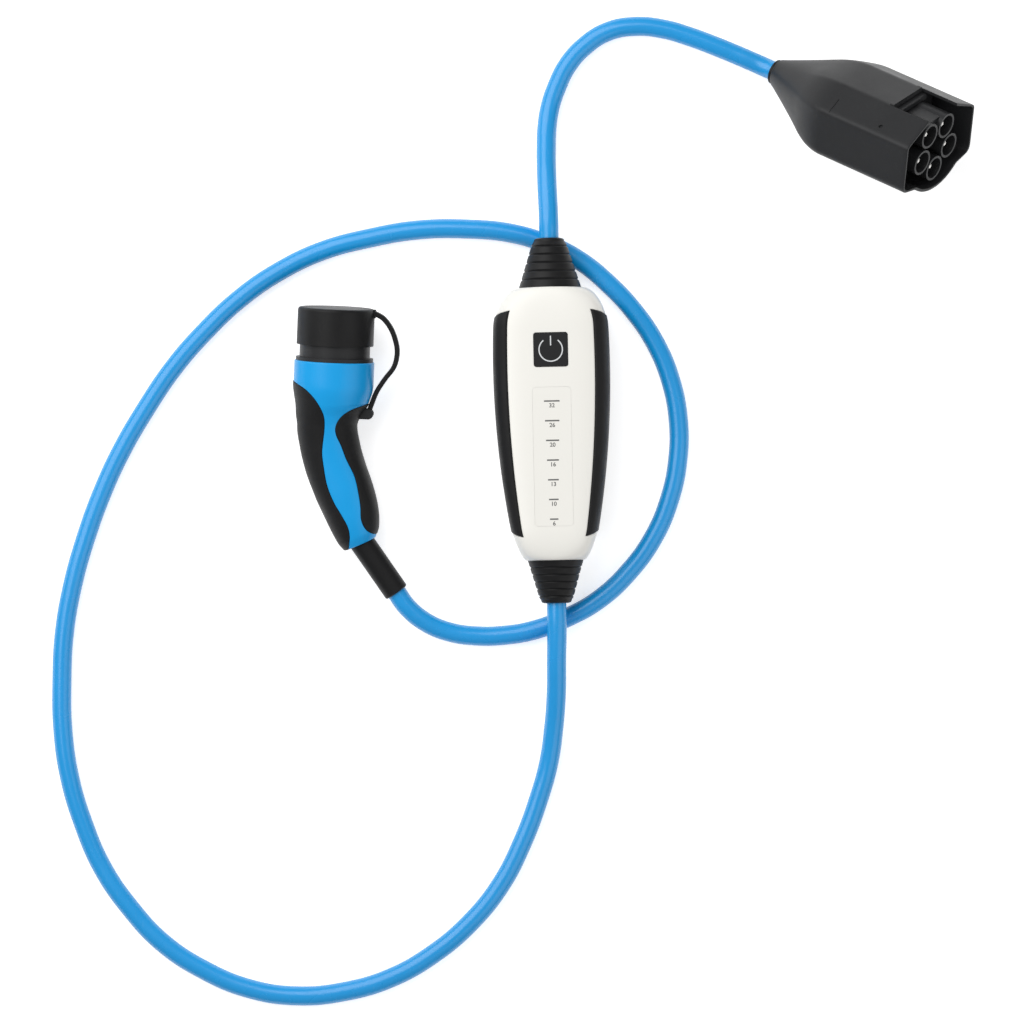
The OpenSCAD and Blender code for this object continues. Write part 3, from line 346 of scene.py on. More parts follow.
def squared(value, power):
    """The coordinate of a rounded square whose squareness is power."""
    return math.copysign(abs(value) ** (2 / power), value)


def rounding(distance, radius):
    """Share of the full height at a distance from a rounded edge."""
    return math.sqrt(max(0.0, 1 - (1 - min(max(distance, 0) / radius, 1)) ** 2))


def monotone(xs, ys):
    """A smooth curve through points that never overshoots them."""
    slopes = [(ys[i + 1] - ys[i]) / (xs[i + 1] - xs[i]) for i in range(len(xs) - 1)]
    tangents = [slopes[0]] + [0 if a * b <= 0 else 2 * a * b / (a + b) for a, b in zip(slopes, slopes[1:])]
    tangents.append(slopes[-1])

    def at(x):
        i = max(0, min(len(xs) - 2, sum(x >= v for v in xs) - 1))
        h = xs[i + 1] - xs[i]
        t = (x - xs[i]) / h
        return ((1 + 2 * t) * (1 - t) ** 2 * ys[i] + t * (1 - t) ** 2 * h * tangents[i]
                + t * t * (3 - 2 * t) * ys[i + 1] + t * t * (t - 1) * h * tangents[i + 1])
    return at


def curved(points, steps):
    """Points along a smooth curve through all the given ones."""
    p = [Vector(v) for v in points]
    line = []
    for i in range(len(p) - 1):
        a, b, c, d = p[max(i - 1, 0)], p[i], p[i + 1], p[min(i + 2, len(p) - 1)]
        for u in (k / steps for k in range(steps)):
            square, cube = 2 * a - 5 * b + 4 * c - d, 3 * b - a - 3 * c + d
            line.append(b + 0.5 * u * (c - a + u * (square + u * cube)))
    return line + [p[-1]]


def laid(place, *turns):
    """A frame at a place, with turns about its axes in their order."""
    there = Matrix.Translation(place)
    for angle, axis in turns:
        there = there @ Matrix.Rotation(angle, 4, axis)
    return there


# Finishes

def add_node(tree, kind, inputs=None, **attributes):
    """A shader node with its values set."""
    node = tree.nodes.new(kind)
    for key, value in attributes.items():
        setattr(node, key, value)
    for key, value in (inputs or {}).items():
        node.inputs[key].default_value = value
    return node


FLOAT, COLOUR = "NodeSocketFloat", "NodeSocketColor"


def wire(tree, *joins):
    """Links, each given as a node, its output, the next node and its input."""
    for start, out, end, into in joins:
        tree.links.new(start.outputs[out], end.inputs[into])


def new_group(name, inputs, outputs):
    """An empty shader node group with its sockets, and its two end nodes."""
    tree = bpy.data.node_groups.new(name, "ShaderNodeTree")
    for label, kind, value in inputs:
        tree.interface.new_socket(label, in_out="INPUT", socket_type=kind).default_value = value
    for label, kind in outputs:
        tree.interface.new_socket(label, in_out="OUTPUT", socket_type=kind)
    return tree, tree.nodes.new("NodeGroupInput"), tree.nodes.new("NodeGroupOutput")


def grain_group():
    """Eroded mould texture: a height for the bump, and a roughness that wanders a little."""
    tree, start, end = new_group(
        "Mould Grain", [("Size", FLOAT, 900.0), ("Rough Low", FLOAT, 0.3), ("Rough High", FLOAT, 0.4)],
        [("Height", FLOAT), ("Roughness", FLOAT)])
    place = add_node(tree, "ShaderNodeTexCoord")
    fine = add_node(tree, "ShaderNodeTexNoise", {"Detail": 3.0, "Roughness": 0.6})
    wide = add_node(tree, "ShaderNodeTexNoise", {"Scale": 34.0, "Detail": 4.0})
    level = add_node(tree, "ShaderNodeMapRange", {"From Min": 0.3, "From Max": 0.7})
    wire(tree,
         (place, "Object", fine, "Vector"), (place, "Object", wide, "Vector"),
         (start, "Size", fine, "Scale"), (wide, "Fac", level, "Value"),
         (start, "Rough Low", level, "To Min"), (start, "Rough High", level, "To Max"),
         (fine, "Fac", end, "Height"), (level, "Result", end, "Roughness"))
    return tree


def tone_group():
    """A colour whose brightness drifts slightly over the surface."""
    tree, start, end = new_group(
        "Tone Drift", [("Tone", COLOUR, (0.5, 0.5, 0.5, 1)), ("Drift", FLOAT, 0.05), ("Size", FLOAT, 24.0)],
        [("Color", COLOUR)])
    place = add_node(tree, "ShaderNodeTexCoord")
    cloud = add_node(tree, "ShaderNodeTexNoise", {"Detail": 5.0, "Roughness": 0.55})
    centred = add_node(tree, "ShaderNodeMath", {1: 0.5}, operation="SUBTRACT")
    amount = add_node(tree, "ShaderNodeMath", operation="MULTIPLY")
    around = add_node(tree, "ShaderNodeMath", {1: 1.0}, operation="ADD")
    shade = add_node(tree, "ShaderNodeHueSaturation")
    wire(tree,
         (place, "Object", cloud, "Vector"), (start, "Size", cloud, "Scale"), (cloud, "Fac", centred, 0),
         (centred, 0, amount, 0), (start, "Drift", amount, 1), (amount, 0, around, 0),
         (around, 0, shade, "Value"), (start, "Tone", shade, "Color"), (shade, "Color", end, "Color"))
    return tree


def rub_group():
    """Mask of fine, faint rub marks."""
    tree, start, end = new_group("Rub Marks", [("Amount", FLOAT, 0.2)], [("Mask", FLOAT)])
    place = add_node(tree, "ShaderNodeTexCoord")
    stretch = add_node(tree, "ShaderNodeMapping",
                       {"Rotation": (0.4, 0.7, 0.9), "Scale": (420.0, 60.0, 420.0)})
    streaks = add_node(tree, "ShaderNodeTexNoise", {"Scale": 1.0, "Detail": 5.0, "Roughness": 0.65})
    keep = add_node(tree, "ShaderNodeMapRange", {"From Min": 0.58, "From Max": 0.80, "To Min": 0.0})
    wire(tree,
         (place, "Object", stretch, "Vector"), (stretch, "Vector", streaks, "Vector"),
         (streaks, "Fac", keep, "Value"), (start, "Amount", keep, "To Max"), (keep, "Result", end, "Mask"))
    return tree


DULL, METAL = {"Specular IOR Level": 0.22}, {"Metallic": 1.0}

# Each finish: its tone or the setting with it, drift of the tone, range of roughness, size and depth of the
# grain, other inputs of the shader, and amount and tone of the rub marks
LOOKS = {
    "white_shell": ("charger_box.white", 0.02, (0.30, 0.38), 1500.0, 0.05),
    "soft_black": ("charger_box.black", 0.25, (0.44, 0.58), 1900.0, 0.35, DULL, (0.04, 0.12)),
    "black_rubber": ("charger_box.black", 0.25, (0.40, 0.52), 1500.0, 0.12, DULL, (0.05, 0.12)),
    "black_plastic": ("charger_plug.grey", 0.16, (0.36, 0.46), 1300.0, 0.10, DULL, (0.06, 0.2)),
    "blue_plastic": ("charger_connector.blue", 0.06, (0.30, 0.38), 1700.0, 0.10,
                     {"Specular IOR Level": 0.36}),
    "cable_sheath": ("charger_cable.blue", 0.10, (0.22, 0.30), 700.0, 0.08, {"Specular IOR Level": 0.65},
                     (0.05, 0.6)),
    "touch_glass": ((0.010, 0.010, 0.011), 0.2, (0.10, 0.16), 60.0, 0.02,
                    {"Coat Weight": 0.5, "Coat Roughness": 0.05}),
    "window_film": ("charger_box.white", 0.02, (0.22, 0.28), 1100.0, 0.03),
    "symbol_print": ("charger_front.light", 0.05, (0.4, 0.5), 1200.0, 0.05),
    "scale_print": ("charger_front.grey", 0.08, (0.4, 0.5), 1200.0, 0.05),
    "seal_rubber": ((0.1, 0.1, 0.105), 0.1, (0.5, 0.6), 1200.0, 0.1),
    "light_guide": ((0.7, 0.74, 0.78), 0.05, (0.1, 0.2), 500.0, 0.03, {"Transmission Weight": 0.5}),
    "grey_plastic": ((0.22, 0.225, 0.23), 0.08, (0.4, 0.5), 1200.0, 0.1),
    "board": ((0.008, 0.075, 0.032), 0.2, (0.25, 0.4), 300.0, 0.15),
    "steel": ((0.52, 0.53, 0.55), 0.1, (0.2, 0.34), 900.0, 0.06, METAL),
    "relay_case": ((0.015, 0.017, 0.02), 0.15, (0.35, 0.5), 900.0, 0.1),
    "terminal": ((0.02, 0.14, 0.045), 0.12, (0.35, 0.5), 900.0, 0.1),
    "lead_brown": ((0.26, 0.10, 0.035), 0.1, (0.35, 0.5), 900.0, 0.1),
    "contact_metal": ((0.82, 0.81, 0.78), 0.06, (0.16, 0.28), 700.0, 0.05, METAL),
    "pin_nickel": ((0.92, 0.91, 0.88), 0.05, (0.58, 0.68), 700.0, 0.05, METAL)}
GROUPS, FINISHES = {}, {}


def group_node(tree, make, values):
    """A node that shows a shared group, made on its first use."""
    if make.__name__ not in GROUPS:
        GROUPS[make.__name__] = make()
    return add_node(tree, "ShaderNodeGroup", values, node_tree=GROUPS[make.__name__])


def finish(look):
    """The material of a finish, made on its first use."""
    if look not in FINISHES:
        FINISHES[look] = make_finish(look, *LOOKS[look])
    return FINISHES[look]


def make_finish(name, tone, drift, rough, grain, depth, shine=None, rub=None):
    """A material with wandering tone and roughness, mould grain and, if asked, rub marks."""
    if isinstance(tone, str):
        tone = bpy.context.scene.path_resolve(tone)
    material = bpy.data.materials.new(name + "_finish")
    material.use_nodes = True
    tree = material.node_tree
    shader = tree.nodes["Principled BSDF"]
    for key, value in (shine or {}).items():
        shader.inputs[key].default_value = value
    colour = group_node(tree, tone_group, {"Tone": (*tone, 1), "Drift": drift})
    skin = group_node(tree, grain_group, {"Size": grain, "Rough Low": rough[0], "Rough High": rough[1]})
    bump = add_node(tree, "ShaderNodeBump", {"Strength": depth, "Distance": 0.0004})
    wire(tree,
         (skin, "Height", bump, "Height"), (bump, "Normal", shader, "Normal"),
         (skin, "Roughness", shader, "Roughness"))
    if rub:
        amount, grey = rub
        marks = group_node(tree, rub_group, {"Amount": amount})
        mix = add_node(tree, "ShaderNodeMix", {"B": (grey, grey, grey, 1)}, data_type="RGBA")
        wire(tree,
             (marks, "Mask", mix, "Factor"), (colour, "Color", mix, "A"),
             (mix, "Result", shader, "Base Color"))
    else:
        wire(tree, (colour, "Color", shader, "Base Color"))
    return material


def dress(look, *names):
    """Gives CAD nodes a finish and smooth shading on their round faces."""
    for name in names:
        mesh = NODES[name].data
        mesh.materials.clear()
        mesh.materials.append(finish(look))
        smooth(mesh, CAD_SMOOTH)


# Forms

class BoxForm:
    """The lofted housing of the control box, from the same sizes as its CAD solids."""
    top_round, bottom_round = 0.034, 0.028
    widest, bow = BOX_HIGH.y - 0.067, 0.79
    ends = (0.0275, 0.0245)
    sole_cut, end_wall, neck = 0.002, 0.004, 0.01715
    grip_ends = (BOX_LOW.y + 0.020, BOX_HIGH.y - 0.020)
    gap, slant, fillet, girth = 0.00015, 0.0048, 0.0014, 0.027
    rim, rim_drop = 0.0009, 0.00028
    pocket_gap, pocket_rim = math.radians(0.6), math.radians(1.9)

    def __init__(self, settings):
        self.s = settings

    def share(self, y):
        """Share of the full section that is left at y."""
        top, bottom = BOX_HIGH.y - self.top_round, BOX_LOW.y + self.bottom_round
        if y > top:
            return math.sqrt(max(0.0, 1 - ((y - top) / self.top_round) ** 2))
        if y < bottom:
            return math.sqrt(max(0.0, 1 - ((bottom - y) / self.bottom_round) ** 2))
        return 1.0

    def point(self, y, angle, inset):
        """A point of the surface at y and an angle round it, set in by a depth."""
        share, end = self.share(y), self.ends[0 if y > 0 else 1]
        side = self.s.width / 2 - (y - self.widest) ** 2 / (2 * self.bow)
        full = self.s.height - self.s.axis if math.sin(angle) > 0 else self.s.axis + self.sole_cut
        across, up = end + (side - end) * share, end + (full - end) * share
        power = 2 + (self.s.square - 2) * share
        z = self.s.axis + (up - inset) * squared(math.sin(angle), power)
        return Vector(((across - inset) * squared(math.cos(angle), power), y, max(z, inset)))

    def drawn(self, y, angle):
        """A place along the housing, drawn in at the grips' ends towards the middle of the sides."""
        most = self.slant * max(0.0, 1 - angle / self.s.grip_angle)
        low, high = self.grip_ends
        return (y + most * max(0.0, 1 - abs(y - low) / (low - BOX_LOW.y))
                - most * max(0.0, 1 - abs(y - high) / (BOX_HIGH.y - high)))

    def stations(self):
        """Places along the housing with the depth level of the grips' pocket at each."""
        top, bottom = BOX_HIGH.y - self.top_round, BOX_LOW.y + self.bottom_round
        turns = [math.sin(math.radians(a)) for a in spread(90, 3, 29)]
        ys = ([bottom - self.bottom_round * t for t in turns] + spread(bottom, top, 44)
              + [top + self.top_round * t for t in reversed(turns)])
        low, high = self.grip_ends[0] - 2 * self.gap, self.grip_ends[1] + 2 * self.gap
        inside = [(y, 2) for y in ys if low < y < high]
        outside = [(y, 0) for y in ys if y <= low - self.rim or y >= high + self.rim]
        rims = [(low - self.rim, 0), (low, 1), (low, 2), (high, 2), (high, 1), (high + self.rim, 0)]
        before = sorted(p for p in outside + rims[:1] if p[0] < low)
        after = sorted(p for p in outside + rims[5:] if p[0] > high)
        return before + rims[1:3] + inside + rims[3:5] + after

    def half(self, upper):
        """Loops of one half of the shell, from seam to seam."""
        turn = 0 if upper else math.pi
        pocket, edge = self.s.grip_angle + self.pocket_gap, self.pocket_rim
        lines = ([(a, 2) for a in spread(0, pocket, 22)] + [(pocket, 1)]
                 + [(a, 0) for a in spread(pocket + edge, math.pi - pocket - edge, 72)]
                 + [(math.pi - pocket, 1)] + [(a, 2) for a in spread(math.pi - pocket, math.pi, 22)])
        depth = {0: 0.0, 1: self.rim_drop, 2: self.s.grip_sink + self.gap}
        stations = self.stations()
        inner_low, inner_high = BOX_LOW.y + self.end_wall, BOX_HIGH.y - self.end_wall
        loops = []
        for angle, level in lines:
            a = angle + turn
            off = min(angle, math.pi - angle)
            outer = [self.point(self.drawn(y, off), a, depth[min(level, mark)]) for y, mark in stations]
            inner = [self.point(min(max(y, inner_low), inner_high), a, self.s.wall)
                     for y, _ in reversed(stations)]
            ring = Vector((self.neck * math.cos(a), 0, self.s.axis + self.neck * math.sin(a)))
            necks = [ring + Vector((0, y, 0)) for y in (BOX_HIGH.y, inner_high, inner_low, BOX_LOW.y)]
            loops.append(outer + necks[:2] + inner + necks[2:])
        return loops

    def grip(self, side):
        """Loops of one side grip with rounded edges."""
        span, fillet = self.s.grip_angle, self.fillet
        low, high = self.grip_ends
        turns = [math.sin(v * math.pi / 2) for v in spread(-1, 1, 56)]
        near = [fillet * (1 - math.cos(math.radians(a))) for a in spread(0, 90, 8)]
        ys = ([low + d for d in near] + spread(low + 0.004, high - 0.004, 80)
              + [high - d for d in reversed(near)])
        loops = []
        for y in ys:
            outer, inner = [], []
            for u in turns:
                gone = min((1 - abs(u)) * span * self.girth, y - low, high - y)
                inset = fillet * (1 - rounding(gone, fillet)) - self.s.grip_proud
                along = self.drawn(y, abs(u) * span)
                outer.append(self.point(along, u * span, inset))
                inner.append(self.point(along, u * span, self.s.grip_sink))
            loops.append([Vector((side * p.x, p.y, p.z)) for p in outer + inner[::-1]])
        return loops


class HandleForm:
    """The lofted handle of the connector with its inset soft grips."""
    square, lip, girth = 2.2, 0.0009, 0.025
    rim, rim_drop, fade_run = 0.0006, 0.0002, 0.004
    fillet, gap, grip_gap, least_span = 0.0011, 0.00005, 0.00025, 0.02

    def __init__(self, settings):
        self.s = settings
        self.place = laid(settings.place, (settings.yaw, "Z"), (settings.tilt, "X"))
        middles, along, widths, depths = zip(*HANDLE_ROWS)
        run = [-y for y in along]
        self.curves = [monotone(run, values) for values in (middles, widths, depths, HANDLE_TURNS)]
        self.end = run[-1]
        self.edges = {-1: curved(BACK_EDGE, 24), 1: curved(FRONT_EDGE, 24)}

    def row(self, t):
        """Centre x, half width, half thickness and turn at a distance behind the collar's front edge."""
        x, wide, thick, turn = (c(t) for c in self.curves)
        return x, wide, thick, math.radians(turn)

    def point(self, t, angle, inset):
        """A point of the handle's surface."""
        x, wide, thick, turn = self.row(t)
        w = (wide - inset) * squared(math.cos(angle), self.square)
        return self.place @ Vector((x + w * math.cos(turn), w * math.sin(turn) - t,
                                    (thick - inset) * squared(math.sin(angle), self.square)))

    def edge_angle(self, t, side):
        """Angle of a soft grip's edge at a row, measured from that grip's own side."""
        x, wide, _, turn = self.row(t)
        along, across = Vector((-math.sin(turn), math.cos(turn))), Vector((math.cos(turn), math.sin(turn)))
        last = None
        for p in self.edges[side]:
            q = Vector(p[:2]) - Vector((x, -t))
            here = (q @ along, q @ across)
            if last and last[0] >= 0 > here[0]:
                share = last[0] / (last[0] - here[0])
                w = side * (last[1] + (here[1] - last[1]) * share) / wide
                w = max(-1.0, min(1.0, w))
                return math.acos(math.copysign(abs(w) ** (self.square / 2), w))
            last = here
        return 0.0

    def stations(self):
        """Distances behind the collar's front edge, close at both ends."""
        near = [self.lip * (1 - math.cos(math.radians(a))) for a in spread(0, 90, 6)]
        return near + spread(0.002, self.end - 0.002, 150) + [self.end - d for d in reversed(near)]

    def half(self, upper):
        """Loops of one half of the shell, from seam to seam."""
        sign = 1 if upper else -1
        stations = self.stations()
        fronts = {t: self.edge_angle(t, 1) for t in stations}
        backs = {t: self.edge_angle(t, -1) for t in stations}
        lines = ([("front", v) for v in spread(0, 1, 14)] + [("front", None)]
                 + [("blue", v) for v in spread(0, 1, 48)]
                 + [("back", None)] + [("back", v) for v in spread(1, 0, 18)])
        loops = []
        for zone, share in lines:
            outer, inner = [], []
            for t in stations:
                front, back = fronts[t], backs[t]
                soft = front if zone == "front" else back
                fade = min(1.0, soft * self.girth / self.fade_run)
                if zone == "blue":
                    edge = self.rim / self.girth
                    low, high = front + min(edge, front), math.pi - back - min(edge, back)
                    angle, inset = low + (high - low) * share, 0.0
                else:
                    angle = soft * (1 if share is None else share)
                    angle = angle if zone == "front" else math.pi - angle
                    inset = fade * (self.rim_drop if share is None else self.s.sink + self.gap)
                round_off = self.lip * (1 - rounding(min(t, self.end - t), self.lip))
                outer.append(self.point(t, sign * angle, max(inset, round_off)))
                inner.append(self.point(t, sign * angle, self.s.wall))
            loops.append(outer + inner[::-1])
        return loops

    def grip(self, side):
        """Loops of one soft grip, which runs over both halves."""
        turns = [math.sin(v * math.pi / 2) for v in spread(-1, 1, 56)]
        middle = 0 if side > 0 else math.pi
        loops = []
        for t in self.stations():
            span = self.edge_angle(t, side) - self.grip_gap / self.girth
            if span <= self.least_span:
                continue
            outer = []
            for u in turns:
                gone = min((1 - abs(u)) * span * self.girth, self.end - t)
                inset = self.fillet * (1 - rounding(gone, self.fillet)) - self.s.proud
                outer.append(self.point(t, middle + u * span, inset))
            loops.append(outer + [self.point(t, middle + u * span, self.s.sink) for u in reversed(turns)])
        return loops


class PlugForm:
    """The lofted shell of the supply plug."""
    side, top, shoulder, brow = 0.0495, 0.032, 0.018, 0.021
    heel, heel_side = (0.047, -0.0275), -0.023
    belly_r, belly_y, belly_half, tail_r = 0.0453, 0.0025, 0.030, 0.0125
    belly = (belly_half, belly_y - math.sqrt(belly_r ** 2 - belly_half ** 2))
    turns, start, ease, floor_ease = 288, 0.001, 0.26, 0.03
    tail_edge, mouth_edge, inner_edge = 0.0006, 0.0009, 0.0005
    sleeve_top, crease = 0.0238, math.radians(24)

    def __init__(self, settings):
        self.s = settings
        self.place = laid(settings.place, (settings.heading, "Z"), (math.pi / 2 - settings.lean, "Y"),
                          (settings.roll, "Z"))
        self.axis = self.place.to_3x3() @ Vector((0, 0, 1))
        down = self.place.to_3x3().inverted() @ Vector((0, 0, -1))
        self.down = math.atan2(down.y, down.x)
        raw = [self.reach(math.tau * k / self.turns) for k in range(self.turns)]
        self.outline, self.soft_outline = self.eased(raw, 1.5), self.eased(raw, 9)

    def eased(self, raw, width):
        """The outline with its corners rounded over a width in steps."""
        half = round(3.4 * width)
        weights = {j: math.exp(-(j / width) ** 2 / 2) for j in range(-half, half + 1)}
        return [sum(w * raw[(k + j) % self.turns] for j, w in weights.items()) / sum(weights.values())
                for k in range(self.turns)]

    def reach(self, angle):
        """Distance of the body's outline from its axis."""
        c, s = abs(math.cos(angle)), math.sin(angle)
        if s < 0 and c * -self.belly[1] < -s * self.belly[0]:
            b = -self.belly_y * s
            return -b + math.sqrt(b * b - self.belly_y ** 2 + self.belly_r ** 2)
        corners = [(0, self.top), (self.brow, self.top), (self.side, self.shoulder),
                   (self.side, self.heel_side), self.heel, self.belly]
        best = 1.0
        for (x0, y0), (x1, y1) in zip(corners, corners[1:]):
            det = c * (y1 - y0) - s * (x1 - x0)
            if abs(det) < 1e-9:
                continue
            r = (x0 * (y1 - y0) - y0 * (x1 - x0)) / det
            if r > 0:
                best = min(best, r)
        return best

    def ring(self, z, inset):
        """A ring that swells from the tail's circle, with a soft shoulder that is firm where it rests."""
        t = max(0.0, (z - self.start) / (self.s.tail - self.start))
        ring = []
        for k, (hard, soft) in enumerate(zip(self.outline, self.soft_outline)):
            angle = math.tau * k / self.turns
            firm = max(0.0, math.cos(angle - self.down)) ** 4
            ease = self.ease + (self.floor_ease - self.ease) * firm
            share = 1.0 if t > 1 + ease else t - max(0.0, t - 1 + ease) ** 2 / (4 * ease)
            reach = soft + (hard - soft) * max(share ** 3, firm)
            r = self.tail_r + (reach - self.tail_r) * share - inset
            ring.append(self.place @ Vector((r * math.cos(angle), r * math.sin(angle), z)))
        return ring

    def on_chamfer(self, x, z):
        """A frame on the left chamfer, with its axes along the plug, up the chamfer and outwards."""
        up = Vector((self.side - self.brow, self.top - self.shoulder, 0)).normalized()
        along = Vector((0, 0, 1))
        frame_axes = Matrix((along, up, along.cross(up))).transposed().to_4x4()
        y = self.shoulder + (x + self.side) * up.y / up.x
        return self.place @ Matrix.Translation((x, y, z)) @ frame_axes

    def loops(self):
        """Rings from the tail's end over the body into the bottom of the open front."""
        s, edge = self.s, self.mouth_edge
        rings = [self.ring(0, self.tail_edge), self.ring(self.tail_edge, 0)]
        rings += [self.ring(z, 0) for z in spread(0.002, s.tail + 0.022, 60)]
        rings += [self.ring(z, 0) for z in spread(s.tail + 0.026, s.length - edge, 20)]
        for turn in (math.radians(a) for a in (25, 50, 75, 90)):
            rings.append(self.ring(s.length - edge * (1 - math.sin(turn)), edge * (1 - math.cos(turn))))
        inner = self.inner_edge
        rings += [self.ring(s.length, s.wall - inner), self.ring(s.length - inner, s.wall)]
        rings += [self.ring(z, s.wall) for z in spread(s.length - 0.002, s.length - s.depth, 6)]
        return rings


# Operators

class CHARGER_OT_stage(bpy.types.Operator):
    """Camera, pale floor and soft light"""
    bl_idname = "charger.stage"
    bl_label = "Stage"

    # Right, up and back of the view, half the floor's side, and the size and place of each lamp
    view_axes = ((0.99953, -0.02063, -0.02269), (0.02084, 0.99974, 0.00898), (0.0225, -0.00945, 0.9997))
    floor_half = 4.0
    lamps = {"key": (3.0, (-1.35, 1.25, 2.1)), "fill": (2.4, (1.7, -0.9, 1.9))}

    def execute(self, context):
        scene, s = context.scene, context.scene.charger_stage
        camera = bpy.data.cameras.new("camera")
        camera.lens, camera.sensor_width = s.lens, 36
        camera.clip_end = 50
        eye = linked("camera", camera)
        turn = Matrix(self.view_axes).transposed().to_quaternion()
        eye.matrix_world = Matrix.Translation(s.eye) @ turn.to_matrix().to_4x4()
        scene.camera = eye
        scene.view_settings.view_transform = "Standard"

        half = self.floor_half
        mesh = raw_mesh("floor", [(x, y, 0) for x, y in oblong(-half, -half, half, half)], [(0, 1, 2, 3)])
        mesh.materials.append(self.floor_finish(s.floor))
        linked("floor", mesh)

        for name, (size, place) in self.lamps.items():
            light = bpy.data.lights.new(name, "AREA")
            light.energy, light.size = getattr(s, name), size
            lamp = linked(name, light)
            lamp.location = place
            lamp.rotation_euler = (-Vector(place)).to_track_quat("-Z", "Y").to_euler()
        self.sky(scene, s.sky)
        return {"FINISHED"}

    def floor_finish(self, colour):
        """White to the eye and in reflections with its shadow kept, and plain and pale to other light."""
        material = bpy.data.materials.new("floor")
        material.use_nodes = True
        tree = material.node_tree
        shader, out = tree.nodes["Principled BSDF"], tree.nodes["Material Output"]
        shader.inputs["Base Color"].default_value = (*colour, 1)
        shader.inputs["Roughness"].default_value = 0.8
        shader.inputs["Specular IOR Level"].default_value = 0.1
        glow = add_node(tree, "ShaderNodeEmission", {"Strength": 0.62})
        both = add_node(tree, "ShaderNodeAddShader")
        path = add_node(tree, "ShaderNodeLightPath")
        seen = add_node(tree, "ShaderNodeMath", operation="ADD")
        any_seen = add_node(tree, "ShaderNodeMath", operation="ADD", use_clamp=True)
        pick = add_node(tree, "ShaderNodeMixShader")
        wire(tree,
             (path, "Is Camera Ray", seen, 0), (path, "Is Glossy Ray", seen, 1), (seen, 0, any_seen, 0),
             (path, "Is Transmission Ray", any_seen, 1), (shader, 0, both, 0), (glow, 0, both, 1),
             (any_seen, 0, pick, 0), (shader, 0, pick, 1), (both, 0, pick, 2), (pick, 0, out, "Surface"))
        return material

    def sky(self, scene, strength):
        """White to the eye, and an even soft light on the object."""
        world = bpy.data.worlds.new("sky")
        scene.world = world
        world.use_nodes = True
        tree = world.node_tree
        background = tree.nodes["Background"]
        background.inputs["Color"].default_value = (1, 1, 1, 1)
        path = add_node(tree, "ShaderNodeLightPath")
        pick = add_node(tree, "ShaderNodeMapRange", {"To Min": strength, "To Max": 1.0})
        wire(tree, (path, "Is Camera Ray", pick, "Value"), (pick, "Result", background, "Strength"))


class CHARGER_OT_housing(bpy.types.Operator):
    """Both halves of the housing and the side grips"""
    bl_idname = "charger.housing"
    bl_label = "Housing"

    # Corner radius of each front panel and the gap round it, and the wells of the screws in the sole
    panels = {"touch_plate": (0.0022, 0.0003), "scale_window": (0.003, 0.0001)}
    panel_floor, panel_rise = 0.0001, 0.01
    well_rows, well_inset, well_r, well_ends = (0.060, -0.010, -0.080), 0.013, 0.0039, (-0.001, 0.0086)

    def execute(self, context):
        form = BoxForm(context.scene.charger_box)
        for name, cutters in (("upper", self.panel_cutters), ("lower", self.well_cutters)):
            half = loft(f"housing_{name}", form.half(name == "upper"), "white_shell",
                        f"box_{name}_shell")
            carve(half, cutters(form))
        for side, name in ((-1, "left"), (1, "right")):
            loft(f"grip_{name}", form.grip(side), "soft_black", f"side_grip_{name}")
        return {"FINISHED"}

    def panel_cutters(self, form):
        """Cutters for the touch plate and the scale window."""
        cutters = []
        for node, (radius, gap) in self.panels.items():
            low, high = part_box(node)
            outline = rounded_square(high.x - low.x + 2 * gap, high.y - low.y + 2 * gap, radius + gap,
                                     ((low.x + high.x) / 2, (low.y + high.y) / 2))
            cutters.append(prism(outline, low.z - self.panel_floor, high.z + self.panel_rise))
        return cutters

    def well_cutters(self, form):
        """Cutters for the screws' wells."""
        wells = []
        for y in self.well_rows:
            side = form.s.width / 2 - (y - form.widest) ** 2 / (2 * form.bow) - self.well_inset
            wells += [prism(circle(self.well_r, (x, y)), *self.well_ends) for x in (-side, side)]
        return wells


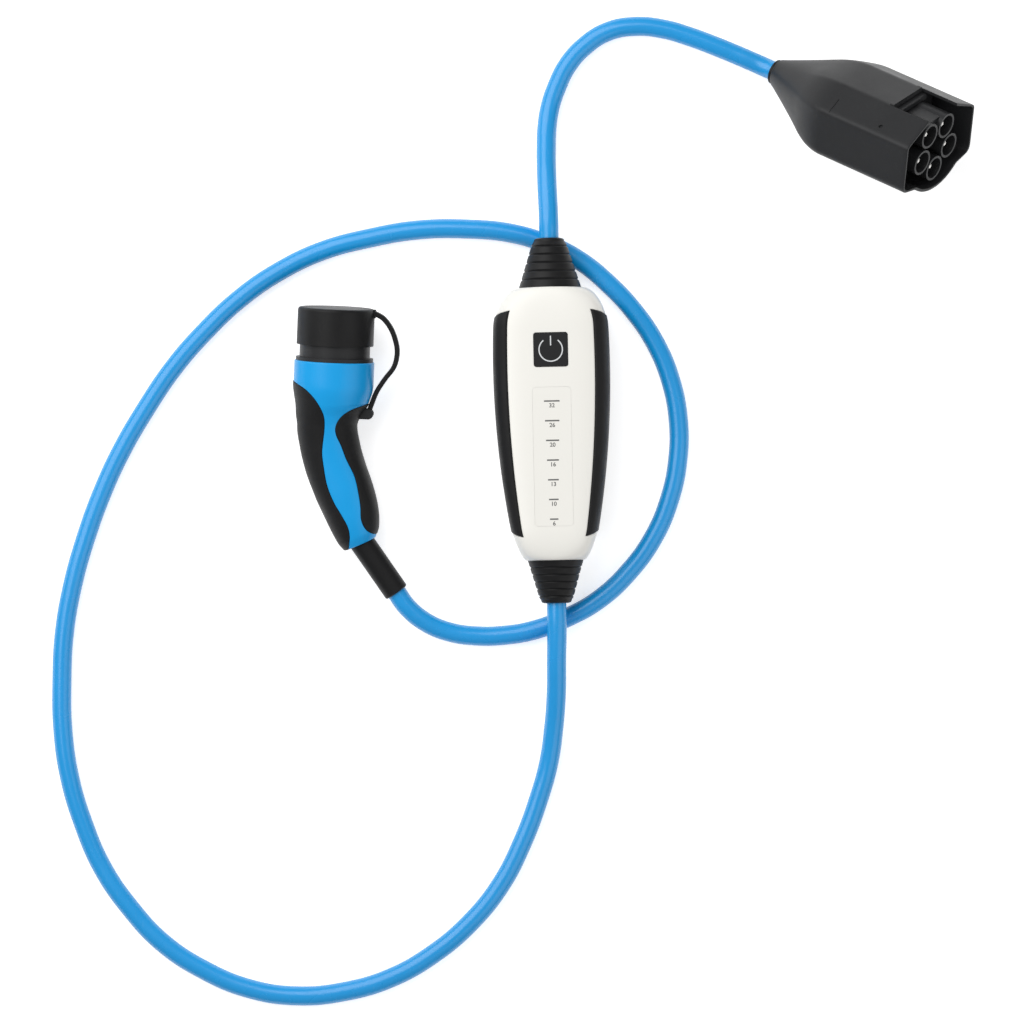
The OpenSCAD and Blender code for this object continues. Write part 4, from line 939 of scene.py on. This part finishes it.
class CHARGER_OT_front(bpy.types.Operator):
    """Touch plate with its symbol, and the scale with its marks and numbers"""
    bl_idname = "charger.front"
    bl_label = "Front"

    # Height and thickness of the print, the ring's ends in degrees and the bar's in radii of the ring
    lift, ink = 0.00004, 0.00003
    ring_ends, bar_ends = (128, 412), (0.35, 1.18)
    # First mark below the window's top, room left at both ends, and the longest and shortest mark
    first_drop, ends_room = 0.012, 0.018
    longest, shortest = 0.0133, 0.0072

    def execute(self, context):
        s = context.scene.charger_front
        dress("touch_glass", "touch_plate")
        dress("window_film", "scale_window")
        make_object("touch_symbol", self.symbol(s), "symbol_print")
        make_object("scale_marks", self.scale(s), "scale_print")
        return {"FINISHED"}

    def strip(self, points, faces, inner, outer, z):
        """Adds a flat strip between two lines of points."""
        start = len(points)
        points += [(x, y, z) for pair in zip(inner, outer) for x, y in pair]
        faces += [(start + 2 * k, start + 2 * k + 1, start + 2 * k + 3, start + 2 * k + 2)
                  for k in range(len(inner) - 1)]

    def symbol(self, s):
        """An open ring with a bar in its gap."""
        low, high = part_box("touch_plate")
        x, y, z = (low.x + high.x) / 2, (low.y + high.y) / 2, high.z + self.lift
        points, faces = [], []
        turns = [math.radians(a) for a in spread(*self.ring_ends, 96)]
        rings = [[(x + r * math.cos(a), y + r * math.sin(a)) for a in turns]
                 for r in (s.ring - s.line / 2, s.ring + s.line / 2)]
        self.strip(points, faces, *rings, z)
        bar = [y + s.ring * end for end in self.bar_ends]
        self.strip(points, faces, [(x - s.line / 2, v) for v in bar], [(x + s.line / 2, v) for v in bar], z)
        return self.film(self.flat_mesh("touch_symbol", points, faces))

    def scale(self, s):
        """The scale's marks, longest at the top, each with its number below."""
        low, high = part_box("scale_window")
        z, steps = high.z + self.lift, len(SCALE_NUMBERS) - 1
        first, pitch = high.y - self.first_drop, (high.y - low.y - self.ends_room) / steps
        points, faces, texts = [], [], []
        for k, number in enumerate(SCALE_NUMBERS):
            y, wide = first - k * pitch, self.longest + (self.shortest - self.longest) * k / steps
            lower, upper = ([(x, y + side * s.mark / 2) for x in (-wide / 2, wide / 2)] for side in (-1, 1))
            self.strip(points, faces, lower, upper, z)
            texts.append(self.number(number, s, (0, y - s.drop, z)))
        mesh = self.flat_mesh("scale_marks", points, faces)
        with editing(mesh) as bm:
            for part in texts:
                bm.from_mesh(part)
        return self.film(mesh)

    def film(self, mesh):
        """The print as a closed film of ink, with its faces in the same order on each run."""
        with editing(mesh) as bm:
            bmesh.ops.remove_doubles(bm, verts=bm.verts, dist=MERGE)
            bmesh.ops.solidify(bm, geom=list(bm.faces), thickness=self.ink)
            bmesh.ops.recalc_face_normals(bm, faces=bm.faces)
            orders = ((bm.verts, lambda v: v.co[:]), (bm.faces, lambda f: f.calc_center_median()[:]))
            for items, place in orders:
                ranks = {item: k for k, item in enumerate(sorted(items, key=place))}
                items.sort(key=ranks.get)
        return mesh

    def number(self, text, s, place):
        """Flat outline of a number, centred on a place."""
        curve = bpy.data.curves.new("number", "FONT")
        curve.body, curve.size, curve.offset = text, s.number, s.bold
        curve.align_x, curve.resolution_u = "CENTER", 4
        obj = linked("number", curve)
        mesh = final_mesh(obj)
        bpy.data.objects.remove(obj)
        mesh.transform(Matrix.Translation(place))
        return mesh

    def flat_mesh(self, name, points, faces):
        """A flat mesh that faces up."""
        mesh = raw_mesh(name, points, faces)
        with editing(mesh) as bm:
            bmesh.ops.recalc_face_normals(bm, faces=bm.faces)
            bmesh.ops.reverse_faces(bm, faces=[f for f in bm.faces if f.normal.z < 0])
        return mesh


class CHARGER_OT_fittings(bpy.types.Operator):
    """Finishes of the boots, the contacts and all pieces inside"""
    bl_idname = "charger.fittings"
    bl_label = "Fittings"

    # The nodes that have each finish
    pieces = {
        "black_rubber": ("cable_boot_top", "cable_boot_bottom", "connector_boot", "plug_boot",
                         "protective_cap"),
        "black_plastic": ("connector_shroud", "contact_block", "strap_anchor", "plug_core", "plug_sleeves"),
        "cable_sheath": ("supply_leads", "vehicle_leads", "connector_leads", "plug_leads"),
        "seal_rubber": ("housing_seal",),
        "light_guide": ("light_guide",),
        "grey_plastic": ("cable_clamp_top", "cable_clamp_bottom"),
        "board": ("control_board",),
        "steel": ("board_screws", "housing_screws", "connector_screws"),
        "relay_case": ("relays", "fault_current_sensor", "power_module"),
        "terminal": ("supply_terminals", "vehicle_terminals"),
        "lead_brown": ("phase_leads",),
        "contact_metal": ("contacts",),
        "pin_nickel": ("plug_pins",)}

    def execute(self, context):
        for look, names in self.pieces.items():
            dress(look, *names)
        return {"FINISHED"}


class CHARGER_OT_handle(bpy.types.Operator):
    """The blue handle and its two soft grips"""
    bl_idname = "charger.handle"
    bl_label = "Handle"

    well_r, well_ends = 0.00295, (-0.034, -0.011)

    def execute(self, context):
        form = HandleForm(context.scene.charger_connector)
        for name in ("upper", "lower"):
            half = loft(f"handle_{name}", form.half(name == "upper"), "blue_plastic",
                        f"connector_shell_{name}")
            if name == "lower":
                carve(half, self.wells(form))
        for side, name in ((-1, "back"), (1, "front")):
            grip = loft(f"soft_grip_{name}", form.grip(side), "soft_black",
                        f"connector_grip_{name}")
            carve(grip, self.wells(form))
        return {"FINISHED"}

    def wells(self, form):
        """Cutters for the screws of the handle."""
        return [prism(circle(self.well_r, place), *self.well_ends, form.place) for place in HANDLE_SCREWS]


class CHARGER_OT_strap(bpy.types.Operator):
    """The strap that keeps the cap on the connector"""
    bl_idname = "charger.strap"
    bl_label = "Strap"

    corner = 0.0012

    def execute(self, context):
        s = context.scene.charger_connector
        form = HandleForm(s)
        line = curved([(*p, 0) for p in STRAP_ROUTE], 10)
        outline = rounded_square(s.strap, s.strap_width, self.corner, (0, 0), 5)
        loops = []
        for k, p in enumerate(line):
            run = (line[min(k + 1, len(line) - 1)] - line[max(k - 1, 0)]).normalized()
            side = Vector((-run.y, run.x, 0))
            loops.append([form.place @ (p + side * u + Vector((0, 0, v))) for u, v in outline])
        strap = loft("strap", loops, "black_rubber", "cap_strap", None)
        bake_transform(strap)
        return {"FINISHED"}


class CHARGER_OT_plug(bpy.types.Operator):
    """The shell of the supply plug, and the step in its notch"""
    bl_idname = "charger.plug"
    bl_label = "Plug"

    # Ridge behind the notch: gap at its ends, foot, chamfer, and its back and front before the notch
    ridge_gap, ridge_foot, ridge_chamfer, ridge_ends = 0.0005, 0.0015, 0.0006, (0.0045, 0.0005)
    # Radius, depth and place of the dimple, half width, half length, depth and place of the parting line
    dimple_r, dimple_deep, dimple_place = 0.0019, 0.0012, (-0.0414, 0.137)
    line_half, line_deep, line_place = (0.0003, 0.008), 0.0005, (-0.0415, 0.088)
    # Reach of the cutters past the shell
    over, notch_over, notch_high = 0.003, 0.01, 0.05

    def execute(self, context):
        s = context.scene.charger_plug
        form = PlugForm(s)
        plug = loft("plug_shell", form.loops(), "black_plastic", "plug_housing",
                    angle=form.crease)
        half, start = form.brow, s.length - s.notch
        notch = prism(oblong(-half, form.shoulder, half, self.notch_high), start, s.length + self.notch_over,
                      form.place)
        dimple = prism(circle(self.dimple_r, (0, 0)), -self.dimple_deep, self.over,
                       form.on_chamfer(*self.dimple_place))
        wide, long = self.line_half
        parting = prism(oblong(-wide, -long, wide, long), -self.line_deep, self.over,
                        form.on_chamfer(*self.line_place))
        carve(plug, [notch, dimple, parting], form.crease, [self.ridge(form, start)])
        make_object("plug_step", self.step(form, start), "black_plastic")
        return {"FINISHED"}

    def ridge(self, form, start):
        """The low ridge behind the notch."""
        low, high, chamfer = form.top - self.ridge_foot, form.top + form.s.ridge, self.ridge_chamfer
        end = form.brow - self.ridge_gap
        bar = [(-end, low), (end, low), (end, high - chamfer), (end - chamfer, high), (chamfer - end, high),
               (-end, high - chamfer)]
        back, front = self.ridge_ends
        return prism(bar, start - back, start - front, form.place)

    def step(self, form, start):
        """The back of the notch and the step in front of it, just over the sleeves."""
        low, shelf, high = form.sleeve_top, form.top - 0.004, form.top - 0.0012
        back, edge, front = start - 0.006, start - 0.0008, start + 0.0048
        lip, half = 0.0005, form.brow - self.ridge_gap
        outline = [(low, back), (low, front), (shelf - lip, front), (shelf, front - lip), (shelf, edge),
                   (high, edge), (high, back)]
        ends = [[form.place @ Vector((x, y, z)) for y, z in outline] for x in (-half, half)]
        return swept("plug_step", ends)


class CHARGER_OT_cables(bpy.types.Operator):
    """The two cables, run into the plug and the connector's boot"""
    bl_idname = "charger.cables"
    bl_label = "Cables"

    # Straight run before each end, and the connector's boot: its turn, foot and length
    straight = 0.014
    boot_turn, boot_foot, boot_length = math.radians(37), Vector((0.026, -0.1506, 0)), 0.059

    def execute(self, context):
        scene, s = context.scene, context.scene.charger_cable
        plug, handle = PlugForm(scene.charger_plug), HandleForm(scene.charger_connector)
        straight, tail = self.straight, Vector(scene.charger_plug.place)
        relief = Vector((math.sin(self.boot_turn), -math.cos(self.boot_turn), 0))
        end = self.boot_foot + self.boot_length * relief
        supply = [*SUPPLY_ROUTE, tail - straight * plug.axis, tail, tail + s.in_plug * plug.axis]
        vehicle = [*VEHICLE_ROUTE, handle.place @ (end + straight * relief), handle.place @ end,
                   handle.place @ (end - s.in_boot * relief)]
        for name, route, length, far, pieces in (
                ("cable_supply", supply, s.supply_length, "plug",
                 ["plug_shell", "plug_step", "plug_core", "plug_sleeves", "plug_pins", "plug_boot",
                  "plug_leads"]),
                ("cable_vehicle", vehicle, s.vehicle_length, "connector",
                 ["handle_upper", "handle_lower", "soft_grip_back", "soft_grip_front", "connector_shroud",
                  "contact_block", "contacts", "connector_leads", "connector_boot", "connector_screws",
                  "protective_cap", "strap", "strap_anchor"])):
            curve = bpy.data.curves.new(name, "CURVE")
            curve.dimensions, curve.resolution_u = "3D", 10
            curve.bevel_depth, curve.bevel_resolution = s.diameter / 2, s.rounding
            curve.use_fill_caps = True
            spline = curve.splines.new("BEZIER")
            spline.bezier_points.add(len(route) - 1)
            for knot, place in zip(spline.bezier_points, route):
                knot.co = place
                knot.handle_left_type = knot.handle_right_type = "AUTO"
            obj = linked(name, curve)
            curve.materials.append(finish("cable_sheath"))
            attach(obj, "charger")
            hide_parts(name.split("_")[1] + "_cable")
        return {"FINISHED"}


class CHARGER_PT_panel(bpy.types.Panel):
    """Settings and steps of the charger"""
    bl_idname = "CHARGER_PT_panel"
    bl_label = "Portable charger"
    bl_space_type = "VIEW_3D"
    bl_region_type = "UI"
    bl_category = "Charger"

    def draw(self, context):
        for operator in OPERATORS:
            self.layout.operator(operator.bl_idname)
        for name, group in SETTINGS:
            column = self.layout.column(align=True)
            column.label(text=group.__doc__)
            for key in group.__annotations__:
                column.prop(getattr(context.scene, name), key)


OPERATORS = (CHARGER_OT_stage, CHARGER_OT_housing, CHARGER_OT_front, CHARGER_OT_fittings, CHARGER_OT_handle,
             CHARGER_OT_strap, CHARGER_OT_plug, CHARGER_OT_cables)


def register():
    """Adds the settings, operators and panel."""
    for name, group in SETTINGS:
        bpy.utils.register_class(group)
        setattr(bpy.types.Scene, name, PointerProperty(type=group))
    for item in (*OPERATORS, CHARGER_PT_panel):
        bpy.utils.register_class(item)


def unregister():
    """Takes them out again."""
    for item in (CHARGER_PT_panel, *reversed(OPERATORS)):
        bpy.utils.unregister_class(item)
    for name, group in reversed(SETTINGS):
        delattr(bpy.types.Scene, name)
        bpy.utils.unregister_class(group)


def main():
    """Builds the whole scene."""
    register()
    bpy.ops.charger.stage()
    bpy.ops.charger.housing()
    bpy.ops.charger.front()
    bpy.ops.charger.fittings()
    bpy.ops.charger.handle()
    bpy.ops.charger.strap()
    bpy.ops.charger.plug()
    bpy.ops.charger.cables()


if __name__ == "__main__":
    main()
